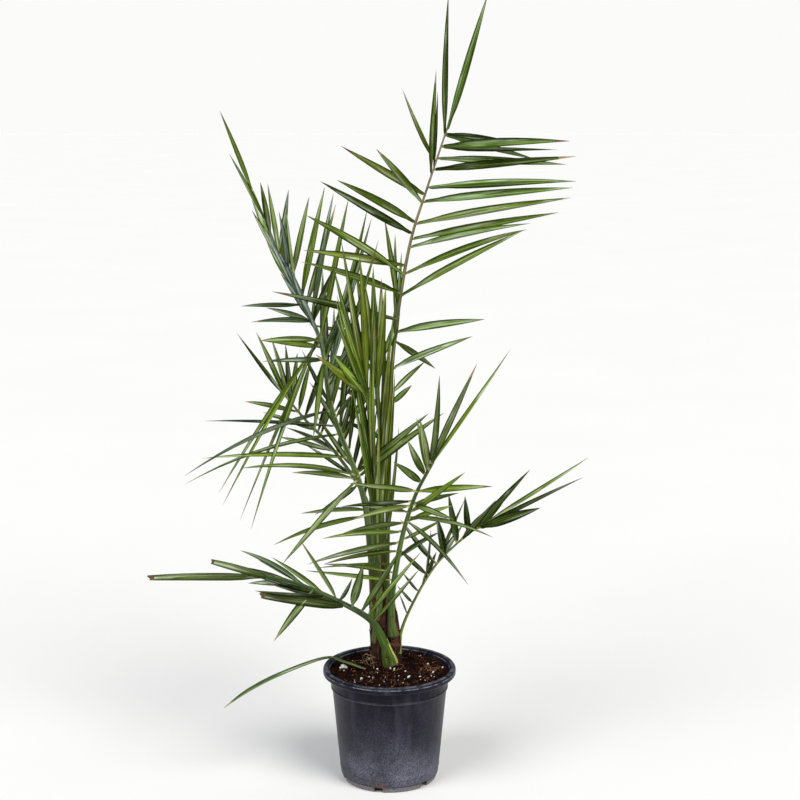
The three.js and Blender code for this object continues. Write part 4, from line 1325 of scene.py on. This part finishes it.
def arch_roots(heap):
    """Pale roots that arch out from the foot of the stem on its left and come down on the soil."""
    for k in range(ROOTS):
        turn = math.radians(180 + 6.5 * k + dice.uniform(-5, 5))
        out = np.array([math.cos(turn), math.sin(turn), 0])
        aside = np.array([-out[1], out[0], 0]) * dice.uniform(-0.7, 0.7)
        start = np.array([TRUNK_X, TRUNK_Y - 0.004, 0]) + 0.021 * out
        reach, rise = dice.uniform(0.009, 0.019), dice.uniform(0.004, 0.012)
        foot = 0.190 + 0.012 * dice.random()
        line = []
        for j in range(13):
            u = j / 12
            p = start + out * reach * math.sin(u * 2.3) + aside * 0.012 * u * u
            p[2] = foot + rise * math.sin(u * math.pi) - (foot - 0.187) * u
            line.append(p + dice.normal(size=3) * 0.0005)
        root = strand(lie_on_soil(np.array(line), 0.0009), dice.uniform(0.0004, 0.0007), 5)
        heap.put(*root, "root_pale")


def make_soil_threads():
    heap = Heap(["fibre_orange", "fibre_red_brown", "root_pale"])
    scatter_threads(heap)
    arch_roots(heap)
    # a tuft of dry fibre near the right of the rim
    for _ in range(TUFT):
        turn = dice.uniform(0, 2 * math.pi)
        x, y = 0.066 + dice.normal() * 0.006, -0.006 + dice.normal() * 0.008
        start = (x, y, soil_level(x, y) + 0.001)
        inside = over_soil(wander(start, (math.cos(turn), math.sin(turn), 0.35), 0.015, 6, 0.4, 0.1))
        if len(inside) > 3:
            heap.put(*strand(lie_on_soil(inside, 0.001), 0.00035, 4), "fibre_orange")
    threads = heap.make("soil_threads", 60)
    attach(threads, "root")


make_soil()
make_crumbs()
make_soil_threads()

# ---- stem -----------------------------------------------------------------------------------
# Height and radius up the stem, in millimetres.
STEM_RINGS = [(181, 27), (196, 26.5), (215, 25), (240, 24), (265, 25), (290, 23), (312, 22)]
STEM_ROWS = 56


def stem_radius(z):
    return float(np.interp(z / MM, [r[0] for r in STEM_RINGS], [r[1] for r in STEM_RINGS])) * MM


def stem_centre(z):
    lean = (z - 0.181) / 0.130
    return np.array([-0.005 - 0.006 * lean, 0.028 + 0.004 * lean])


def stem_side(turn, z, lift=0.0):
    """A place on the stem's surface, drawn in on the right where the upper stalks leave it."""
    x, y = stem_centre(z)
    r = stem_radius(z) + lift
    draw = 1 - 0.3 * min(1, max(0, (z - 0.245) / 0.05))
    across = r * math.cos(turn)
    return np.array([x + (across * draw if across > 0 else across), y + r * math.sin(turn), z])


def bark_finish():
    f = Finish("stem_bark", 0.88, 0.25)
    fibres = f.noise(f.place((1, 1, 0.12)), 420.0, 4.0, 0.6, 0.3)
    cloud = f.noise(f.place(), 90.0, 4.0)
    browns = [(0.32, (0.012, 0.0055, 0.004)), (0.52, (0.070, 0.021, 0.013)), (0.72, (0.26, 0.105, 0.062))]
    base = f.ramp(fibres, browns)
    f.colour(f.mix(f.ramp(cloud, [(0.36, 0.7), (0.58, 0.0)]), base, (0.018, 0.006, 0.0045)))
    f.roughness(f.ramp(fibres, [(0.3, 0.95), (0.7, 0.75)]))
    return f.bump(fibres, 0.0018, 1.0).made


def make_stem():
    looks["stem_bark"] = bark_finish()
    clear_selection()
    low, high = TRUNK_LOW[2], TRUNK_HIGH[2]
    middle = (0, 0, (low + high) / 2)
    bpy.ops.mesh.primitive_cylinder_add(vertices=96, radius=0.025, depth=high - low, location=middle)
    stem = bpy.context.object
    stem.name = stem.data.name = "stem"
    settle(stem)
    bpy.ops.object.mode_set(mode="EDIT")
    for k in range(1, STEM_ROWS):
        bpy.ops.mesh.select_all(action="SELECT")
        bpy.ops.mesh.bisect(plane_co=(0, 0, low + (high - low) * k / STEM_ROWS), plane_no=(0, 0, 1))
    bpy.ops.mesh.select_all(action="DESELECT")
    bpy.ops.object.mode_set(mode="OBJECT")
    for v in stem.data.vertices:
        z = v.co.z
        a = math.atan2(v.co.y, v.co.x)
        row = (z - low) / 0.024
        step = row + a / (2 * math.pi) * 3
        ledge = (step % 1.0) ** 1.6
        ragged = 0.5 * math.sin(a * 23 + z * 160) + 0.35 * math.sin(a * 41 - z * 300)
        ragged += 0.3 * math.sin(a * 11 + z * 520)
        v.co = stem_side(a, z, -0.14 * stem_radius(z) + 0.0024 * ledge + 0.0008 * ragged)
    mend(stem)
    stem.data.materials.clear()
    stem.data.materials.append(looks["stem_bark"])
    soften(stem, 60)
    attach(stem, "root")
    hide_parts("trunk")


CLASP_NARROW = 0.45
CLASP_THICK = 0.0012


def border_of(wide, tall):
    """The outer points of a grid of points, in order round it."""
    border = list(range(wide)) + [j * wide + wide - 1 for j in range(1, tall)]
    border += [(tall - 1) * wide + i for i in range(wide - 2, -1, -1)]
    return border + [j * wide for j in range(tall - 2, 0, -1)]


def clasp(heap, turn, z0, height, spread, lift, finish, flare):
    """A curved plate that clasps the stem, narrowing upwards, its top torn and standing out a little."""
    wide, tall = 13, 11
    outer, inner = [], []
    for j in range(tall):
        v = j / (tall - 1)
        z = z0 + height * v
        for i in range(wide):
            s = i / (wide - 1) * 2 - 1
            a = turn + s * spread * (1 - CLASP_NARROW * v)
            torn = dice.uniform(-0.0035, 0.003) if j == tall - 1 else 0
            top = z - height * v**3 * 0.25 * (abs(s) ** 1.5) + torn
            out = -0.03 * stem_radius(z) + lift + flare * v**2 * (1 - 0.3 * abs(s)) - 0.0006 * abs(s) ** 3
            out += 0.0003 * math.sin(s * 14 + z0 * 900)
            deep = CLASP_THICK * (1 - 0.5 * v) * (1 - 0.6 * abs(s)) + 0.0003
            for side, level in ((outer, out), (inner, out - deep)):
                p = stem_side(a, min(z, 0.33), level)
                side.append((p[0], p[1], top))
    half = wide * tall
    faces = []
    for j in range(tall - 1):
        for i in range(wide - 1):
            a, b = j * wide + i, j * wide + i + 1
            c, d = b + wide, a + wide
            faces.append([a, b, c, d])
            faces.append([half + d, half + c, half + b, half + a])
    border = border_of(wide, tall)
    for a, b in zip(border, border[1:] + border[:1]):
        faces.append([a, half + a, half + b, b])
    heap.put(outer + inner, faces, finish)


# Green leaf bases on the stem: their middle line and half widths in millimetres, and how far they bulge.
GREEN_BASES = [
    ([(9, -1, 242), (7.5, -2.5, 246), (5.5, -3.5, 256), (4, -4, 275)], (8.8, 8.6, 7.2, 4.2), 3.2),
    ([(-24, 10, 258), (-26, 15, 285), (-27, 24, 315), (-31, 35, 360)], (4, 6.5, 6.5, 5), 2.5),
    ([(-20, 2, 268), (-17, 3, 290), (-17, 6, 315), (-19, 8, 345)], (3.5, 5, 6, 5.5), 2),
    ([(-25, 9, 226), (-26, 9, 236), (-26.5, 10, 250)], (3, 4.5, 1.5), 1.5),
    ([(-4, 10, 296), (-5, 14, 318), (-6, 20, 350), (-5, 28, 400)], (3, 5, 5.5, 4.5), 2),
]
# The wide green foot of the low left leaf.
OLD_FOOT = ([(3.6, -6, 191.5), (0, -7.5, 203), (-4.4, -9.5, 220), (-8.5, -10.5, 240)], (12, 12.4, 9, 5), 3.4)
FOOT_SCAR = ([(12, 2.5, 213), (10.5, 1.5, 226), (9, 0, 243)], (5, 8.5, 8.4), 2.2)


def sheath(heap, line, halves, bulge, finish, edge, torn, left_edge=None):
    """A leaf base: a plate bowed towards the front, its edges and torn foot in other tints."""
    wide, tall = 9, 4 * (len(line) - 1)
    middle = smooth(line, tall)
    half = smooth([(h, 0, 0) for h in halves], tall)[:, 0]
    ways = directions(middle)
    front, back, uv = [], [], []
    for j in range(tall + 1):
        side = unit(np.cross(FRONT, ways[j]))
        face = np.cross(ways[j], side)
        for i in range(wide):
            s = i / (wide - 1) * 2 - 1
            p = middle[j] + side * s * half[j] + face * bulge * (1 - s * s) + face * 0.18 * math.sin(s * 17)
            if j == 0:
                p = p + ways[0] * dice.uniform(-1.6, 1.6)
            front.append(p)
            back.append(p - face * (1.4 - 0.9 * abs(s)))
            uv.append((j / tall * 0.1, (s + 1) / 2))
    count = len(front)
    faces, names = [], []
    for j in range(tall):
        for i in range(wide - 1):
            a, b = j * wide + i, j * wide + i + 1
            c, d = b + wide, a + wide
            faces += [[a, b, c, d], [count + d, count + c, count + b, count + a]]
            rims = {0: edge, wide - 2: left_edge or edge}
            names += [torn if j == 0 else rims.get(i, finish), edge]
    border = border_of(wide, tall + 1)
    for a, b in zip(border, border[1:] + border[:1]):
        faces.append([a, count + a, count + b, b])
        names.append(edge)
    heap.put(np.array(front + back) * MM, faces, names, uv + uv)


OLD_BASES = 30
BASE_FINISHES = ("stem_bark", "fibre_red_brown", "stem_bark", "fibre_dark", "stem_bark")


def make_leaf_bases():
    """Old leaf bases that clasp the stem, one after another round it, and green ones over them."""
    looks["leaf_base_green"] = midrib_finish(
        "leaf_base_green", (0.080, 0.135, 0.018), (0.075, 0.135, 0.016), 0.2, 0.3, (0.24, 0.32, 0.09)
    )
    browns = ["stem_bark", "fibre_red_brown", "fibre_dark", "fibre_orange"]
    heap = Heap(browns + ["leaf_base_green", "leaf_tip_brown", "leaf_edge_yellow", "leaf_spot_red"])
    for k in range(OLD_BASES):
        turn = math.radians(137.5 * k + 30)
        z0 = 0.182 + 0.0036 * k
        finish = BASE_FINISHES[k % len(BASE_FINISHES)]
        height = dice.uniform(0.022, 0.044)
        spread = math.radians(dice.uniform(22, 44))
        lift, flare = dice.uniform(0.0002, 0.0016), dice.uniform(0.001, 0.0042)
        clasp(heap, turn, z0, height, spread, lift, finish, flare)
    for line, halves, bulge in GREEN_BASES:
        sheath(heap, line, halves, bulge, "leaf_base_green", "leaf_tip_brown", "leaf_tip_brown")
    sheath(heap, *FOOT_SCAR, "stem_bark", "fibre_dark", "fibre_dark")
    sheath(heap, *OLD_FOOT, "leaf_base_green", "leaf_edge_yellow", "leaf_tip_brown", "leaf_base_green")
    heap.put(lump((-0.004, -0.0104, 0.2078), 0.0042), LUMP_FACES, "fibre_dark")
    heap.put(lump((-0.0042, -0.0134, 0.2066), 0.0015), LUMP_FACES, "leaf_spot_red")
    for _ in range(26):
        x, z = 0.0095 + dice.normal() * 0.0038, 0.228 + dice.normal() * 0.008
        start = (x, -0.0016 + dice.normal() * 0.0006, z)
        line = wander(start, (dice.normal() * 0.5, -0.1, 1), 0.007, 4, 0.3)
        heap.put(*strand(line, 0.0004, 3), "fibre_orange")
    for k in range(3):
        x, y = 0.031 + 0.003 * k, 0.056 - 0.004 * k
        heap.put(lump((x, y, soil_level(x, y) + 0.005), 0.0042 - 0.0008 * k, 1.6), LUMP_FACES, "fibre_dark")
    bases = heap.make("old_leaf_bases", 50)
    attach(bases, "root")


def make_stem_fibres():
    """Loose fibre on the stem and up between the stalks."""
    names = ["fibre_orange", "fibre_red_brown", "fibre_dark"]
    heap = Heap(names)
    for _ in range(150):
        z = 0.186 + 0.100 * dice.random()
        a = dice.uniform(0, 2 * math.pi)
        start = stem_side(a, z, 0.0008)
        way = (dice.normal() * 0.05 - 0.10 * math.cos(a), dice.normal() * 0.05 - 0.10 * math.sin(a), 1.0)
        line = wander(start, way, dice.uniform(0.008, 0.024), 6, 0.09)
        thread = strand(line, dice.uniform(0.0002, 0.00052), 3)
        heap.put(*thread, names[dice.choice(3, p=(0.5, 0.35, 0.15))])
    # strands that climb in the slits between the young stalks
    for k in range(72):
        slit = (-0.0125, -0.0035, -0.0225)[k % 3]
        low = dice.uniform(0.29, 0.345)
        length = dice.uniform(0.015, 0.055)
        x = slit + dice.normal() * 0.0011
        y = 0.0195 + dice.normal() * 0.002
        slope = dice.normal() * 0.22
        line = []
        for j in range(9):
            rise = length * j / 8
            z = low + rise
            across = x + slope * rise - 0.035 * (z - 0.3) + dice.normal() * 0.0007
            line.append((across, y + dice.normal() * 0.0007, z))
        thread = strand(np.array(line), dice.uniform(0.00025, 0.0005), 3)
        heap.put(*thread, names[dice.choice(3, p=(0.4, 0.45, 0.15))])
    fibres = heap.make("stem_fibres", 60)
    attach(fibres, "root")


make_stem()
make_leaf_bases()
make_stem_fibres()

# ---- the old leaf over the rim --------------------------------------------------------------


def make_loose_leaf():
    tints = ((0.085, 0.145, 0.034), (0.30, 0.40, 0.15))
    looks["leaf_old_green"] = leaf_finish("leaf_old_green", *tints, 0.42, 0.8)
    heap = Heap(["leaf_old_green", "leaf_tip_tan", "leaf_tip_brown", "leaf_underside"])
    n = 30
    line = smooth([p[:3] for p in LOOSE_LEAF], n)
    halves = np.maximum(0.6, smooth([(p[3], 0, 0) for p in LOOSE_LEAF], n)[:, 0])
    ways = directions(line)
    points = []
    uv = []
    names = []
    for k in range(n + 1):
        side = unit(np.cross((0, 0, 1), ways[k]))
        up = np.cross(ways[k], side)
        twist = 0.18 * math.sin(k / n * math.pi * 1.3)
        side, up = turn_about(side, ways[k], twist), turn_about(up, ways[k], twist)
        lift = 0.28 * halves[k]
        for a, f, t in SECTION:
            points.append(line[k] + side * a * halves[k] + up * (f * lift - lift * 0.4 + t * 0.45))
            uv.append((k / n * 0.27, (a + 1) / 2))
    for k in range(n):
        for i in range(AROUND):
            if k < 1 or k > n - 3:
                names.append("leaf_tip_tan" if k > n - 3 else "leaf_tip_brown")
            else:
                names.append("leaf_old_green" if i in UPPER else "leaf_underside")
    names += ["leaf_tip_brown", "leaf_tip_tan"]
    heap.put(np.array(points) * MM, ring_faces(n + 1, AROUND), names, uv)
    leaf = heap.make("loose_leaf_blade")
    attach(leaf, "root")
    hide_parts("loose_leaf")


make_loose_leaf()

# ---- floor ----------------------------------------------------------------------------------


def make_floor():
    f = Finish("floor_pale", 0.85, 0.1)
    cloud = f.noise(f.place(), 1.4, 2.0)
    f.colour(f.ramp(cloud, [(0.3, (0.845, 0.847, 0.845)), (0.7, (0.86, 0.862, 0.86))]))
    clear_selection()
    bpy.ops.mesh.primitive_circle_add(vertices=128, radius=40, fill_type="NGON", location=(0, 0, -0.0004))
    floor = bpy.context.object
    floor.name = "studio_floor"
    floor.data.materials.append(f.made)


make_floor()
